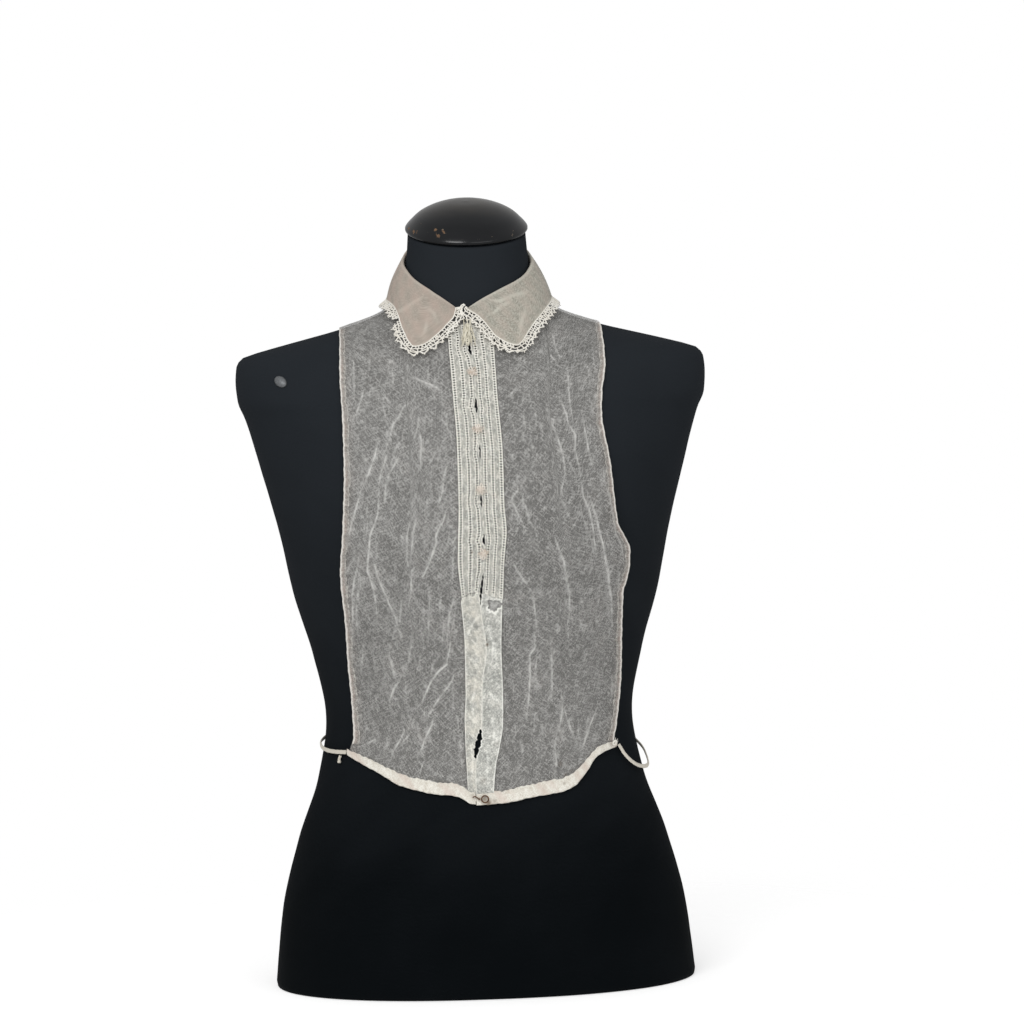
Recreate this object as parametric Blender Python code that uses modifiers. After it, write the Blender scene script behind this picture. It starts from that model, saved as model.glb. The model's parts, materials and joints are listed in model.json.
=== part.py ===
"""Sheer net chemisette with a lace-edged turn-down collar, buttoned in front, on a limbless dress form.

Metres, +Z up, origin at the centre of the form's flat underside, front facing -Y.
The tables are in millimetres and degrees; MM and math.radians turn them into the script's units.
"""
import math

import bmesh
import bpy
from mathutils import Matrix, Vector

MM = 0.001

# ---- driving dimensions -------------------------------------------------------------------------------------
GAP = 0.55 * MM                 # between layers that lie on each other
SEAM = 0.3 * MM                 # between pieces that meet edge to edge
LAY = 1.8 * MM                  # inner face of the net above the form
NECK_EASE = 0.8 * MM            # and this much more round the neck, where the form hollows
NECK_EASE_FROM, NECK_EASE_TO = 488.0 * MM, 522.0 * MM
NET_WALL = 1.1 * MM             # net of the fronts and the back
HEM_WALL = 1.8 * MM             # rolled hem on a side edge
PLACKET_WALL = 1.0 * MM
RIB_WALL = 1.5 * MM             # the placket's rails beside each row of drawn threads
FACING_WALL = 1.0 * MM
BAND_WALL = 1.2 * MM
COLLAR_WALL = 1.0 * MM
LACE_WALL = 1.0 * MM
LACE_CLEARANCE = 0.15 * MM      # beyond SEAM, for the turn between the fall and the lace
LACE_WIDTH = 8.6 * MM
SCALLOP_DEPTH = 1.6 * MM
LACE_REPEATS = 40

FORM_COLUMNS = 40
NECK_SLANT = math.tan(math.radians(18.0))       # the neck's top leans forward
NECK_SLANT_START = 548.0 * MM
NECK_TOP = 597.0 * MM

BUTTON_HEIGHTS = (482.0, 438.5, 394.5, 346.5)
BUTTON_RADIUS = 3.7 * MM
BUTTON_THICKNESS = 2.4 * MM
TUFT_HEIGHT = 506.5

PLACKET_TOP = 514.0
PLACKET_BOTTOM = 311.0
FACING_TOP = 309.5

WORN_HOLE_RADIUS = 4.3 * MM
WORN_HOLE_SIDES = 12
WORN_HOLE_PLACE = (9.0, 302.5)                  # across, height
WORN_HOLE_TURN = 0.2
CUTTER_DEPTH = 12.0 * MM

TIE_RADIUS = 1.7 * MM


# ---- tables -------------------------------------------------------------------------------------------------
def curve_through(keys, values):
    """A smooth curve through the points that never overshoots them, as a function of the key."""
    steps = [b - a for a, b in zip(keys, keys[1:])]
    slopes = [(b - a) / step for a, b, step in zip(values, values[1:], steps)]
    tangents = [slopes[0]]
    for i in range(1, len(slopes)):
        before, after = slopes[i - 1], slopes[i]
        if before * after <= 0.0:
            tangents.append(0.0)
            continue
        weight_before = 2.0 * steps[i] + steps[i - 1]
        weight_after = steps[i] + 2.0 * steps[i - 1]
        tangents.append((weight_before + weight_after) / (weight_before / before + weight_after / after))
    tangents.append(slopes[-1])

    def read(key):
        key = min(max(key, keys[0]), keys[-1])
        i = 0
        while i < len(steps) - 1 and key > keys[i + 1]:
            i += 1
        t = (key - keys[i]) / steps[i]
        return ((2 * t**3 - 3 * t**2 + 1) * values[i]
                + (t**3 - 2 * t**2 + t) * steps[i] * tangents[i]
                + (3 * t**2 - 2 * t**3) * values[i + 1]
                + (t**3 - t**2) * steps[i] * tangents[i + 1])

    return read


class Table:
    """Rows under named columns; each column after the first is a smooth curve of the first."""

    def __init__(self, columns, rows, scales=None):
        names = columns.split()
        scales = scales or [MM] * len(names)
        keys = [row[0] * scales[0] for row in rows]
        self.keys = keys
        for i, name in enumerate(names[1:], 1):
            setattr(self, name, curve_through(keys, [row[i] * scales[i] for row in rows]))


DEGREE = math.radians(1.0)

# The form's level sections: half its width, its depth in front and behind, and how square the section is.
FORM = Table("height half_width front back square", (
    (0.0, 168.5, 104.0, 116.0, 2.30),
    (60.0, 161.5, 104.0, 114.0, 2.30),
    (118.0, 146.6, 98.0, 98.0, 2.25),
    (166.0, 130.0, 89.0, 76.0, 2.20),
    (212.0, 122.7, 84.0, 62.0, 2.15),
    (262.0, 131.5, 93.0, 67.0, 2.20),
    (311.0, 145.5, 108.0, 78.0, 2.25),
    (360.0, 155.5, 118.0, 86.0, 2.30),
    (407.0, 167.6, 115.0, 92.0, 2.40),
    (453.0, 180.5, 97.0, 92.0, 2.70),
    (466.0, 185.6, 91.0, 90.0, 3.00),
    (482.0, 187.0, 83.0, 87.0, 3.00),
    (494.0, 186.0, 75.0, 83.0, 3.00),
    (500.5, 181.5, 71.0, 80.0, 2.80),
    (507.5, 159.0, 67.0, 77.0, 2.50),
    (515.0, 129.5, 62.0, 73.0, 2.30),
    (521.5, 104.0, 58.0, 69.0, 2.20),
    (526.5, 88.0, 55.5, 66.5, 2.15),
    (532.0, 73.5, 53.5, 64.0, 2.10),
    (537.5, 63.5, 51.5, 61.0, 2.05),
    (545.0, 56.0, 49.5, 57.5, 2.00),
    (558.0, 51.0, 47.0, 53.0, 2.00),
    (575.0, 48.6, 45.5, 50.0, 2.00),
    (597.0, 47.0, 45.0, 48.5, 2.00),
), (MM, MM, MM, MM, 1.0))

# The front opening's line, left or right of the middle.
OPENING = Table("height across", (
    (148.0, -8.0), (169.0, -8.4), (186.0, -7.4), (203.0, -3.6), (214.0, -2.2), (244.0, -1.4), (271.0, 2.3),
    (305.0, -1.6), (333.0, 1.0), (356.0, 2.0), (387.0, 0.8), (425.0, 1.1), (457.0, -0.2), (482.0, -0.5),
    (502.0, -3.2), (534.0, -7.0),
))
SIDE_EDGE = {
    -1: Table("height across", (
        (160.0, 104.5), (190.0, 103.0), (202.0, 99.5), (227.0, 100.2), (259.0, 102.5), (294.0, 104.0),
        (331.0, 106.7), (363.0, 104.3), (415.0, 102.1), (451.0, 102.6), (483.0, 104.0), (521.0, 103.0),
    )),
    1: Table("height across", (
        (160.0, 104.0), (193.0, 101.8), (204.0, 104.0), (243.0, 108.5), (309.0, 109.8), (332.0, 114.6),
        (344.0, 115.2), (368.0, 104.2), (410.0, 101.0), (450.0, 96.6), (467.0, 98.0), (488.0, 101.8),
        (521.0, 102.3),
    )),
}
BACK_EDGE = Table("height across", (
    (160.0, 98.0), (204.0, 97.0), (260.0, 101.0), (331.0, 106.0), (400.0, 104.0), (521.0, 102.6),
))
# The waist edge under its tape: the tape's lower edge and its width, by the distance from the middle.
HEM = {
    -1: Table("across lower width", (
        (0.0, 149.0, 10.0), (11.0, 150.5, 10.0), (22.0, 156.0, 9.8), (40.0, 158.6, 9.8), (54.0, 161.4, 9.6),
        (67.0, 165.8, 9.4), (78.0, 172.0, 8.4), (90.0, 178.8, 7.0), (104.0, 186.4, 5.4),
    )),
    1: Table("across lower width", (
        (-8.0, 149.4, 9.6), (6.0, 149.6, 9.8), (31.0, 152.9, 10.2), (48.0, 155.4, 10.6), (60.0, 156.6, 10.8),
        (70.0, 161.4, 10.4), (78.0, 170.0, 9.6), (88.0, 181.6, 6.6), (104.0, 187.8, 4.6),
    )),
}
BACK_HEM = Table("across lower width", ((0.0, 186.0, 9.0), (50.0, 188.0, 9.0), (100.0, 196.0, 8.0)))

NECKLINE = Table("azimuth height", (
    (0.0, 529.5), (45.0, 533.0), (90.0, 545.0), (135.0, 552.0), (180.0, 555.0),
), (DEGREE, MM))

# The turn-down collar from its front tip to the middle of the back: the fold, and the edge of the fall.
COLLAR = Table("part fold_azimuth fold_height edge_azimuth edge_height", (
    (0.00, 6.0, 535.5, 5.5, 527.5),
    (0.06, 10.5, 539.0, 10.5, 518.0),
    (0.14, 19.0, 543.5, 17.0, 509.5),
    (0.24, 32.0, 549.5, 26.0, 505.0),
    (0.33, 44.0, 555.0, 35.5, 506.5),
    (0.42, 58.0, 561.0, 45.0, 517.0),
    (0.52, 74.0, 567.5, 60.0, 529.5),
    (0.63, 95.0, 574.5, 90.0, 540.0),
    (0.80, 135.0, 583.0, 135.0, 545.5),
    (1.00, 180.0, 587.0, 180.0, 547.0),
), (1.0, DEGREE, MM, DEGREE, MM))
COLLAR_PARTS = (0.0, 0.03, 0.06, 0.10, 0.14, 0.18, 0.22, 0.26, 0.30, 0.34, 0.38, 0.43, 0.48, 0.54, 0.61, 0.68,
                0.76, 0.84, 0.92, 1.0)
TIP_DRIFT = -7.0 * MM           # the collar's front opens a little to the left of the middle
TIP_DRIFT_SPAN = 42.0 * DEGREE

# The largest folds of the net, as soft ridges: where each starts and ends, its height and half its width.
RIDGES = {
    "front": (
        # across, height, to across, to height, rise, reach
        (-40.0, 470.0, -98.0, 330.0, 2.2, 8.0),
        (-60.0, 495.0, -92.0, 420.0, 1.8, 8.0),
        (-38.0, 400.0, -70.0, 250.0, 2.0, 8.0),
        (-88.0, 300.0, -60.0, 205.0, 1.8, 8.0),
        (88.0, 440.0, 108.0, 315.0, 3.4, 8.5),
        (62.0, 455.0, 84.0, 290.0, 2.4, 8.0),
        (36.0, 420.0, 62.0, 265.0, 1.9, 8.0),
        (58.0, 250.0, 96.0, 215.0, 1.8, 8.0),
    ),
    "back": (
        (-30.0, 460.0, -70.0, 300.0, 2.0, 9.0),
        (-78.0, 440.0, -84.0, 290.0, 1.8, 9.0),
        (26.0, 470.0, 58.0, 320.0, 2.0, 9.0),
        (80.0, 400.0, 74.0, 250.0, 1.8, 9.0),
        (-10.0, 330.0, 6.0, 225.0, 1.6, 9.0),
    ),
}
RIDGE_CLEAR = 24.0 * MM         # a ridge dies out this near to the opening
RIDGE_FADE = 14.0 * MM

# Routes of the ties: the azimuth, the height, and the stand-off of the tape's middle from the form.
TIE_ROUTES = {
    "tie_left": (
        (-64.6, 189.1, 3.1), (-67.4, 188.9, 2.9), (-71.0, 188.6, 2.8), (-77.0, 188.8, 2.8), (-84.0, 190.0, 2.8),
        (-92.0, 192.6, 2.8), (-100.0, 195.6, 2.8), (-106.0, 198.0, 2.9), (-112.7, 200.6, 3.0),
    ),
    "tie_right": (
        (64.0, 188.6, 3.4), (64.4, 185.6, 4.2), (65.2, 180.6, 5.0), (67.4, 175.0, 5.4), (71.0, 170.4, 5.2),
        (77.0, 167.6, 4.8), (84.0, 167.6, 5.0), (90.5, 171.8, 5.4), (95.5, 178.6, 5.6), (101.0, 186.4, 4.6),
        (106.5, 193.6, 3.6), (112.7, 200.6, 3.0),
    ),
}
# The knotted end that hangs from the left tie, and the knot on the right corner.
TIE_END_ROUTE = ((-67.6, 186.0, 2.4), (-67.9, 183.4, 2.4), (-67.5, 180.4, 2.5))
TIE_END_RADIUS = 1.2 * MM
KNOT_PLACE = (60.4, 190.2)                      # azimuth, height
KNOT_RADIUS = 2.6 * MM

COLOURS = {
    # red, green, blue, roughness, metallic
    "net": (0.52, 0.50, 0.46, 0.85, 0.0),
    "lace": (0.84, 0.79, 0.68, 0.85, 0.0),
    "doubled_cloth": (0.66, 0.63, 0.57, 0.85, 0.0),
    "tape": (0.74, 0.68, 0.60, 0.80, 0.0),
    "thread": (0.76, 0.68, 0.58, 0.80, 0.0),
    "rusty_wire": (0.12, 0.06, 0.04, 0.70, 0.6),
    "form_cloth": (0.02, 0.025, 0.03, 0.80, 0.0),
    "lacquered_wood": (0.01, 0.009, 0.008, 0.25, 0.0),
    "stud_metal": (0.32, 0.33, 0.34, 0.45, 0.7),
}


# ---- the form's surface -------------------------------------------------------------------------------------
def ramp(value, low, high):
    """0 below low, 1 above high, smooth between."""
    t = min(max((value - low) / (high - low), 0.0), 1.0)
    return t * t * (3.0 - 2.0 * t)


def form_point(azimuth, height):
    """A point of the form; azimuth 0 is the front, a quarter turn is +X."""
    square = FORM.square(height)
    depth = FORM.front(height) if math.cos(azimuth) > 0.0 else FORM.back(height)
    across = abs(math.sin(azimuth)) / FORM.half_width(height)
    along = abs(math.cos(azimuth)) / depth
    radius = (across**square + along**square) ** (-1.0 / square)
    y = -radius * math.cos(azimuth)
    slant = NECK_SLANT * ramp(height, NECK_SLANT_START, NECK_TOP)
    return Vector((radius * math.sin(azimuth), y, height + slant * y))


def form_normal(azimuth, height):
    """The way out of the form at one of its points."""
    turn, rise = 0.5 * DEGREE, 0.6 * MM
    around = form_point(azimuth + turn, height) - form_point(azimuth - turn, height)
    up = form_point(azimuth, height + rise) - form_point(azimuth, height - rise)
    return around.cross(up).normalized()


def above_form(azimuth, height, distance):
    """A point this far out from the form's own."""
    return form_point(azimuth, height) + form_normal(azimuth, height) * distance


def azimuth_at(across, height, face):
    """The azimuth of the form's point this far across, on its front (-1) or its back (+1)."""
    half_width = FORM.half_width(height)
    square = FORM.square(height)
    depth = FORM.front(height) if face < 0 else FORM.back(height)
    share = min(abs(across) / half_width, 1.0)
    y = face * depth * (1.0 - share**square) ** (1.0 / square)
    return math.atan2(across, -y)


def foot_of(point):
    """The azimuth and height of the form's point that lies level with this one."""
    azimuth = math.atan2(point.x, -point.y)
    height = point.z
    for _ in range(6):
        slant = NECK_SLANT * ramp(height, NECK_SLANT_START, NECK_TOP)
        height = point.z - slant * form_point(azimuth, height).y
    return azimuth, height


def settle(point, distance, lower=True):
    """Moves a point along the form's normal until it lies this far from the form, or only out if not lower."""
    for _ in range(4):
        azimuth, height = foot_of(point)
        normal = form_normal(azimuth, height)
        change = distance - (point - form_point(azimuth, height)).dot(normal)
        if change < 0.0 and not lower:
            return point
        point = point + normal * change
    return point


def ridge_rise(across, height, face):
    """How far the net's largest folds lift it here."""
    rise = 0.0
    for x1, z1, x2, z2, top, reach in RIDGES["front" if face < 0 else "back"]:
        along_x, along_z = (x2 - x1) * MM, (z2 - z1) * MM
        length = math.hypot(along_x, along_z)
        off_x, off_z = across - x1 * MM, height - z1 * MM
        part = (off_x * along_x + off_z * along_z) / length**2
        aside = (off_x * along_z - off_z * along_x) / length
        if 0.0 < part < 1.0:
            rise += top * MM * math.sin(math.pi * part) ** 0.7 * math.exp(-((aside / (reach * MM)) ** 2))
    if face < 0:
        rise *= ramp(abs(across - OPENING.across(height)), RIDGE_CLEAR, RIDGE_CLEAR + RIDGE_FADE)
    return rise


def on_net(across, height, face, lift):
    """A point this far above the inner face of the net, which lies on the form."""
    azimuth = azimuth_at(across, height, face)
    ease = NECK_EASE * ramp(height, NECK_EASE_FROM, NECK_EASE_TO)
    return above_form(azimuth, height, LAY + ease + ridge_rise(across, height, face) + lift)


def opening_edge(height, side):
    """The front edge of one side: the edges part a little between the buttons."""
    stops = [(PLACKET_TOP + 20.0) * MM] + [z * MM for z in BUTTON_HEIGHTS] + [FACING_TOP * MM]
    half_gap = 0.3 * MM
    for top, bottom in zip(stops, stops[1:]):
        if bottom < height < top:
            half_gap += 0.7 * MM * math.sin(math.pi * (height - bottom) / (top - bottom)) ** 2
    return OPENING.across(height) + side * half_gap


# ---- mesh helpers -------------------------------------------------------------------------------------------
def material(name):
    """The Principled material of this name, made at its first use."""
    made = bpy.data.materials.get(name)
    if made:
        return made
    red, green, blue, roughness, metallic = COLOURS[name]
    made = bpy.data.materials.new(name)
    made.use_nodes = True
    shader = made.node_tree.nodes["Principled BSDF"]
    shader.inputs["Base Color"].default_value = (red, green, blue, 1.0)
    shader.inputs["Roughness"].default_value = roughness
    shader.inputs["Metallic"].default_value = metallic
    made.diffuse_color = (red, green, blue, 1.0)
    return made


def add_object(name, data, material_name, collection):
    """A named object in the collection, with its material."""
    made = bpy.data.objects.new(name, data)
    collection.objects.link(made)
    data.materials.append(material(material_name))
    return made


def grid_mesh(name, grid, skip=(), closed=False):
    """A sheet of four-sided faces through a grid of points; closed joins the last column to the first."""
    rows, columns = len(grid), len(grid[0])
    last = columns if closed else columns - 1
    faces = []
    for r in range(rows - 1):
        for c in range(last):
            if (r, c) in skip:
                continue
            d = (c + 1) % columns
            faces.append((r * columns + c, r * columns + d, (r + 1) * columns + d, (r + 1) * columns + c))
    mesh = bpy.data.meshes.new(name)
    mesh.from_pydata([tuple(point) for row in grid for point in row], [], faces)
    mesh.update()
    return mesh


def cloth(name, grid, wall, material_name, collection, weights=None, skip=()):
    """A wall of cloth raised outward from a grid of inner points; weights scale the wall at each point."""
    mesh = grid_mesh(name, grid, skip)
    made = add_object(name, mesh, material_name, collection)
    mesh.shade_smooth()
    if weights:
        group = made.vertex_groups.new(name="wall")
        flat = [weight for row in weights for weight in row]
        for index, weight in enumerate(flat):
            group.add([index], weight, "REPLACE")
    solidify = made.modifiers.new("wall", "SOLIDIFY")
    solidify.thickness = wall
    solidify.offset = 1.0
    if weights:
        solidify.vertex_group = "wall"
    return made


def even_points(samples, count, crowding=1.0, first_step=0.0):
    """Points along a finely sampled line: even, or after a given first step crowding together to its end."""
    lengths = [0.0]
    for a, b in zip(samples, samples[1:]):
        lengths.append(lengths[-1] + (b - a).length)
    points = []
    j = 0
    for i in range(count):
        target = lengths[-1] * i / (count - 1)
        if first_step:
            share = max(i - 1, 0) / (count - 2)
            start = first_step if i else 0.0
            target = start + (lengths[-1] - start) * (1.0 - (1.0 - share) ** crowding)
        while j < len(lengths) - 2 and lengths[j + 1] < target:
            j += 1
        t = (target - lengths[j]) / (lengths[j + 1] - lengths[j])
        points.append(samples[j].lerp(samples[j + 1], min(max(t, 0.0), 1.0)))
    return points


def turned(name, profile, steps, material_name, collection, placing):
    """A turned solid: the profile runs down its outer side, top to bottom, and starts and ends on the axis."""
    mesh = bpy.data.meshes.new(name)
    mesh.from_pydata([(radius, 0.0, height) for radius, height in profile],
                     [(i, i + 1) for i in range(len(profile) - 1)], [])
    made = add_object(name, mesh, material_name, collection)
    screw = made.modifiers.new("turn", "SCREW")
    screw.steps = screw.render_steps = steps
    screw.use_merge_vertices = True
    screw.merge_threshold = 0.00001
    screw.use_smooth_shade = True
    made.matrix_world = placing
    return made


def tube(name, points, radius, sides_resolution, material_name, collection, cyclic=False):
    """A round wire or tape through the points."""
    data = bpy.data.curves.new(name, "CURVE")
    data.dimensions = "3D"
    data.bevel_depth = radius
    data.bevel_resolution = sides_resolution
    data.use_fill_caps = True
    spline = data.splines.new("POLY")
    spline.points.add(len(points) - 1)
    for target, point in zip(spline.points, points):
        target.co = (*point, 1.0)
    spline.use_cyclic_u = cyclic
    return add_object(name, data, material_name, collection)


def outward_frame(origin, outward, turn=0.0):
    """A placing whose Z points outward and whose Y points up, turned about Z."""
    z_axis = outward.normalized()
    x_axis = Vector((0.0, 0.0, 1.0)).cross(z_axis).normalized()
    y_axis = z_axis.cross(x_axis)
    placing = Matrix((x_axis, y_axis, z_axis)).transposed().to_4x4()
    placing.translation = origin
    return placing @ Matrix.Rotation(turn, 4, "Z")


# ---- the form and its cap -----------------------------------------------------------------------------------
FORM_STEPS = (
    # up to this height, the levels lie no further apart than this
    (515.0, 33.0), (545.0, 3.5), (600.0, 7.5),
)
FORM_FOOT_EDGE = 2.5 * MM       # the chamfer round the flat underside


def form_heights():
    """Levels of the form's mesh: the table's own, with extra ones where they lie far apart."""
    levels = [FORM.keys[0]]
    for low, high in zip(FORM.keys, FORM.keys[1:]):
        step = next(step for limit, step in FORM_STEPS if low < limit * MM)
        pieces = math.ceil((high - low) / (step * MM))
        levels += [low + (high - low) * (i + 1) / pieces for i in range(pieces)]
    return levels


def ring_of_form(height, inset=0.0):
    """A level section of the form, drawn in by the inset."""
    points = []
    for i in range(FORM_COLUMNS):
        turn = 2.0 * math.pi * i / FORM_COLUMNS
        depth = FORM.front(height) if math.cos(turn) > 0.0 else FORM.back(height)
        azimuth = math.atan2(FORM.half_width(height) * math.sin(turn), depth * math.cos(turn))
        point = form_point(azimuth, height)
        point.x *= 1.0 - inset / FORM.half_width(height)
        point.y *= 1.0 - inset / depth
        points.append(point)
    return points


def make_form(collection):
    """The padded form: lofted level sections, flat below and at the slanting top of the neck."""
    grid = [ring_of_form(0.0, FORM_FOOT_EDGE), ring_of_form(FORM_FOOT_EDGE)]
    grid += [ring_of_form(level) for level in form_heights()[1:]]
    mesh = grid_mesh("dress_form", grid, closed=True)
    shell = bmesh.new()
    shell.from_mesh(mesh)
    shell.verts.ensure_lookup_table()
    last = (len(grid) - 1) * FORM_COLUMNS
    shell.faces.new([shell.verts[i] for i in reversed(range(FORM_COLUMNS))])
    shell.faces.new([shell.verts[last + i] for i in range(FORM_COLUMNS)])
    bmesh.ops.recalc_face_normals(shell, faces=shell.faces)
    shell.to_mesh(mesh)
    shell.free()
    mesh.shade_smooth()
    mesh.set_sharp_from_angle(angle=math.radians(50.0))
    add_object("dress_form", mesh, "form_cloth", collection)


CAP_PROFILE = (
    # radius, height above the neck's top
    (0.0, 23.0), (14.0, 22.0), (27.0, 19.0), (38.0, 13.8), (45.0, 8.0), (48.6, 4.2), (48.9, 2.4), (47.6, 0.7),
    (45.5, 0.3), (0.0, 0.3),
)


def make_cap(collection):
    """The turned wooden cap, tipped forward with the neck's top."""
    middle = (form_point(0.0, NECK_TOP) + form_point(math.pi, NECK_TOP)) / 2.0
    placing = Matrix.Translation(middle) @ Matrix.Rotation(math.atan(NECK_SLANT), 4, "X")
    profile = [(radius * MM, height * MM) for radius, height in CAP_PROFILE]
    turned("neck_cap", profile, 32, "lacquered_wood", collection, placing)


STUD_PLACE = (-150.0, 481.0)                    # across, height
STUD_TURN = math.radians(-35.0)
STUD_OVAL = (1.1, 0.72, 1.0, 1.0)               # its length, width and rise as shares of the round profile
STUD_PROFILE = (
    # radius, height above the form
    (0.0, 2.6), (3.2, 2.3), (5.2, 1.2), (5.6, 0.0), (0.0, 0.0),
)


def make_stud(collection):
    """The oval stud near the armhole."""
    across, height = (value * MM for value in STUD_PLACE)
    azimuth = azimuth_at(across, height, -1)
    placing = outward_frame(above_form(azimuth, height, SEAM), form_normal(azimuth, height), STUD_TURN)
    profile = [(radius * MM, rise * MM) for radius, rise in STUD_PROFILE]
    turned("form_stud", profile, 16, "stud_metal", collection, placing @ Matrix.Diagonal(STUD_OVAL))


# ---- the net ------------------------------------------------------------------------------------------------
NET_LEVELS = 23
NET_FIRST_STEP = 9.5 * MM        # the lowest level ends with the waist tape
NET_CROWDING = 1.3              # the levels lie closer together towards the neck
NET_SAMPLES = 140
SHOULDER_SHARE = 0.5415         # where a side's columns pass from the neckline to the shoulder seam
NECK_COLUMNS = 6                # columns under the neckline, even round the neck
NECK_SHARES = tuple(SHOULDER_SHARE * math.sin(0.5 * math.pi * i / NECK_COLUMNS)
                    for i in range(NECK_COLUMNS + 1))
SHOULDER_SHARES = (0.61, 0.72, 0.84, 0.952, 0.966, 1.0)
NET_SHARES = NECK_SHARES + SHOULDER_SHARES
HEM_SHARE = 0.96                # the side hem lies outside this share of the width
PLAIN_WEIGHT = NET_WALL / HEM_WALL
NET_INSIDE_TAPE = 1.0 * MM      # the net's lower edge lies this far above the waist tape's
NET_TALLEST = 565.0 * MM        # no column reaches this high
NET_SHORTEST = 120.0 * MM       # nor ends this near to the waist
FRONT_WIDTH = 100.0 * MM        # a front's and the back's usual half width
BACK_WIDTH = 98.0 * MM


def net_column(across_at, bottom, face):
    """Points up one column of the net, from the waist edge to the neckline or the shoulder seam."""

    def inside(height):
        across = across_at(height)
        if abs(across) >= FORM.half_width(height):
            return False
        return height < NECKLINE.height(abs(azimuth_at(across, height, face)))

    low, high = bottom + NET_SHORTEST, NET_TALLEST
    for _ in range(40):
        middle = 0.5 * (low + high)
        low, high = (middle, high) if inside(middle) else (low, middle)
    top = low
    samples = []
    for i in range(NET_SAMPLES + 1):
        share = i / NET_SAMPLES
        height = top - (top - bottom) * (1.0 - share) ** 2
        point = on_net(across_at(height), height, face, 0.0)
        if face * point.y < SEAM:
            point.y = face * SEAM
        samples.append(point)
    return even_points(samples, NET_LEVELS + 1, NET_CROWDING, NET_FIRST_STEP)


def net_weights(columns, shares):
    """The wall's share of a hem's thickness: hems run up the side edges, above the waist tape."""
    rows = []
    for r in range(NET_LEVELS + 1):
        rows.append([1.0 if abs(share) > HEM_SHARE and r > 1 else PLAIN_WEIGHT for share in shares])
    return rows


def make_front(side, collection):
    """One front of the net, from its opening edge to its side edge."""
    name = "front_left" if side < 0 else "front_right"
    shares = NET_SHARES if side > 0 else tuple(reversed(NET_SHARES))
    columns = []
    for share in shares:
        def across_at(height, share=share):
            inner = opening_edge(height, side)
            return inner + share * (side * SIDE_EDGE[side].across(height) - inner)
        edge = across_at(HEM[side].lower(share * FRONT_WIDTH))
        bottom = HEM[side].lower(side * edge) + NET_INSIDE_TAPE
        columns.append(net_column(across_at, bottom, -1))
    grid = [[column[r] for column in columns] for r in range(NET_LEVELS + 1)]
    cloth(name, grid, HEM_WALL, "net", collection, net_weights(columns, shares))


def make_back(collection):
    """The back of the net, in one piece."""
    shares = tuple(reversed(NET_SHARES)) + tuple(-share for share in NET_SHARES[1:])
    columns = []
    for share in shares:
        def across_at(height, share=share):
            return share * BACK_EDGE.across(height)
        bottom = BACK_HEM.lower(abs(share) * BACK_WIDTH) + NET_INSIDE_TAPE
        columns.append(net_column(across_at, bottom, 1))
    grid = [[column[r] for column in columns] for r in range(NET_LEVELS + 1)]
    cloth("back", grid, HEM_WALL, "net", collection, net_weights(columns, shares))


# ---- what is sewn onto the fronts ---------------------------------------------------------------------------
PLACKET_EDGE = {
    -1: Table("height across", ((300.0, 15.2), (311.0, 15.5), (341.0, 18.0), (383.0, 16.4), (428.0, 16.2),
                                (473.0, 18.0), (516.0, 19.6))),
    1: Table("height across", ((300.0, 15.8), (311.0, 16.0), (340.0, 17.3), (365.0, 19.6), (383.0, 18.4),
                               (420.0, 18.6), (469.0, 16.6), (516.0, 16.0))),
}
FACING_EDGE = {
    -1: Table("height across", ((150.0, 13.6), (166.0, 14.0), (214.0, 14.8), (237.0, 13.6), (276.0, 13.8),
                                (309.0, 16.0))),
    1: Table("height across", ((150.0, 5.4), (160.0, 6.0), (179.5, 8.2), (191.0, 10.9), (213.0, 14.6),
                               (236.0, 15.0), (271.0, 14.2), (305.0, 15.2), (316.0, 15.6))),
}
# Across a placket: the share of its width, and whether a hemstitched row's rails stand there.
PLACKET_SECTION = ((0.0, 0), (0.09, 0), (0.18, 1), (0.28, 0), (0.42, 0), (0.51, 1), (0.60, 0), (0.74, 0),
                   (0.83, 1), (0.92, 0), (1.0, 0))
PLACKET_LEVELS = 14
FACING_LEVELS = 12
FACING_SHARES = (0.0, 0.25, 0.5, 0.75, 1.0)
FACING_FOOT = 165.0 * MM        # about where it ends
FACING_SEAM = 1.0 * MM          # between a facing's foot and the waist tape, which is coarser there
STRIP_END_RISE = 5.0 * MM       # the strips' ends slant up to the opening


def strip_grid(side, edge_table, shares, levels, bottom_at, top_at):
    """A grid over a strip beside the opening, its columns going to +X."""
    grid = []
    for r in range(levels + 1):
        row = []
        for share in shares:
            bottom, top = bottom_at(share), top_at(share)
            height = bottom + (top - bottom) * r / levels
            inner = opening_edge(height, side)
            across = inner + share * (side * edge_table[side].across(height) - inner)
            row.append(on_net(across, height, -1, NET_WALL + GAP))
        grid.append(row if side > 0 else row[::-1])
    return grid


def make_placket(side, collection):
    """The doubled strip beside the opening, with its three rows of drawn threads."""
    name = "placket_left" if side < 0 else "placket_right"
    shares = [share for share, _ in PLACKET_SECTION]

    def bottom_at(share):
        return PLACKET_BOTTOM * MM + STRIP_END_RISE * (1.0 - share)

    grid = strip_grid(side, PLACKET_EDGE, shares, PLACKET_LEVELS, bottom_at, lambda share: PLACKET_TOP * MM)
    weights = [1.0 if rail else PLACKET_WALL / RIB_WALL for _, rail in PLACKET_SECTION]
    weights = weights if side > 0 else weights[::-1]
    cloth(name, grid, RIB_WALL, "doubled_cloth", collection, [weights] * (PLACKET_LEVELS + 1))


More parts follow.
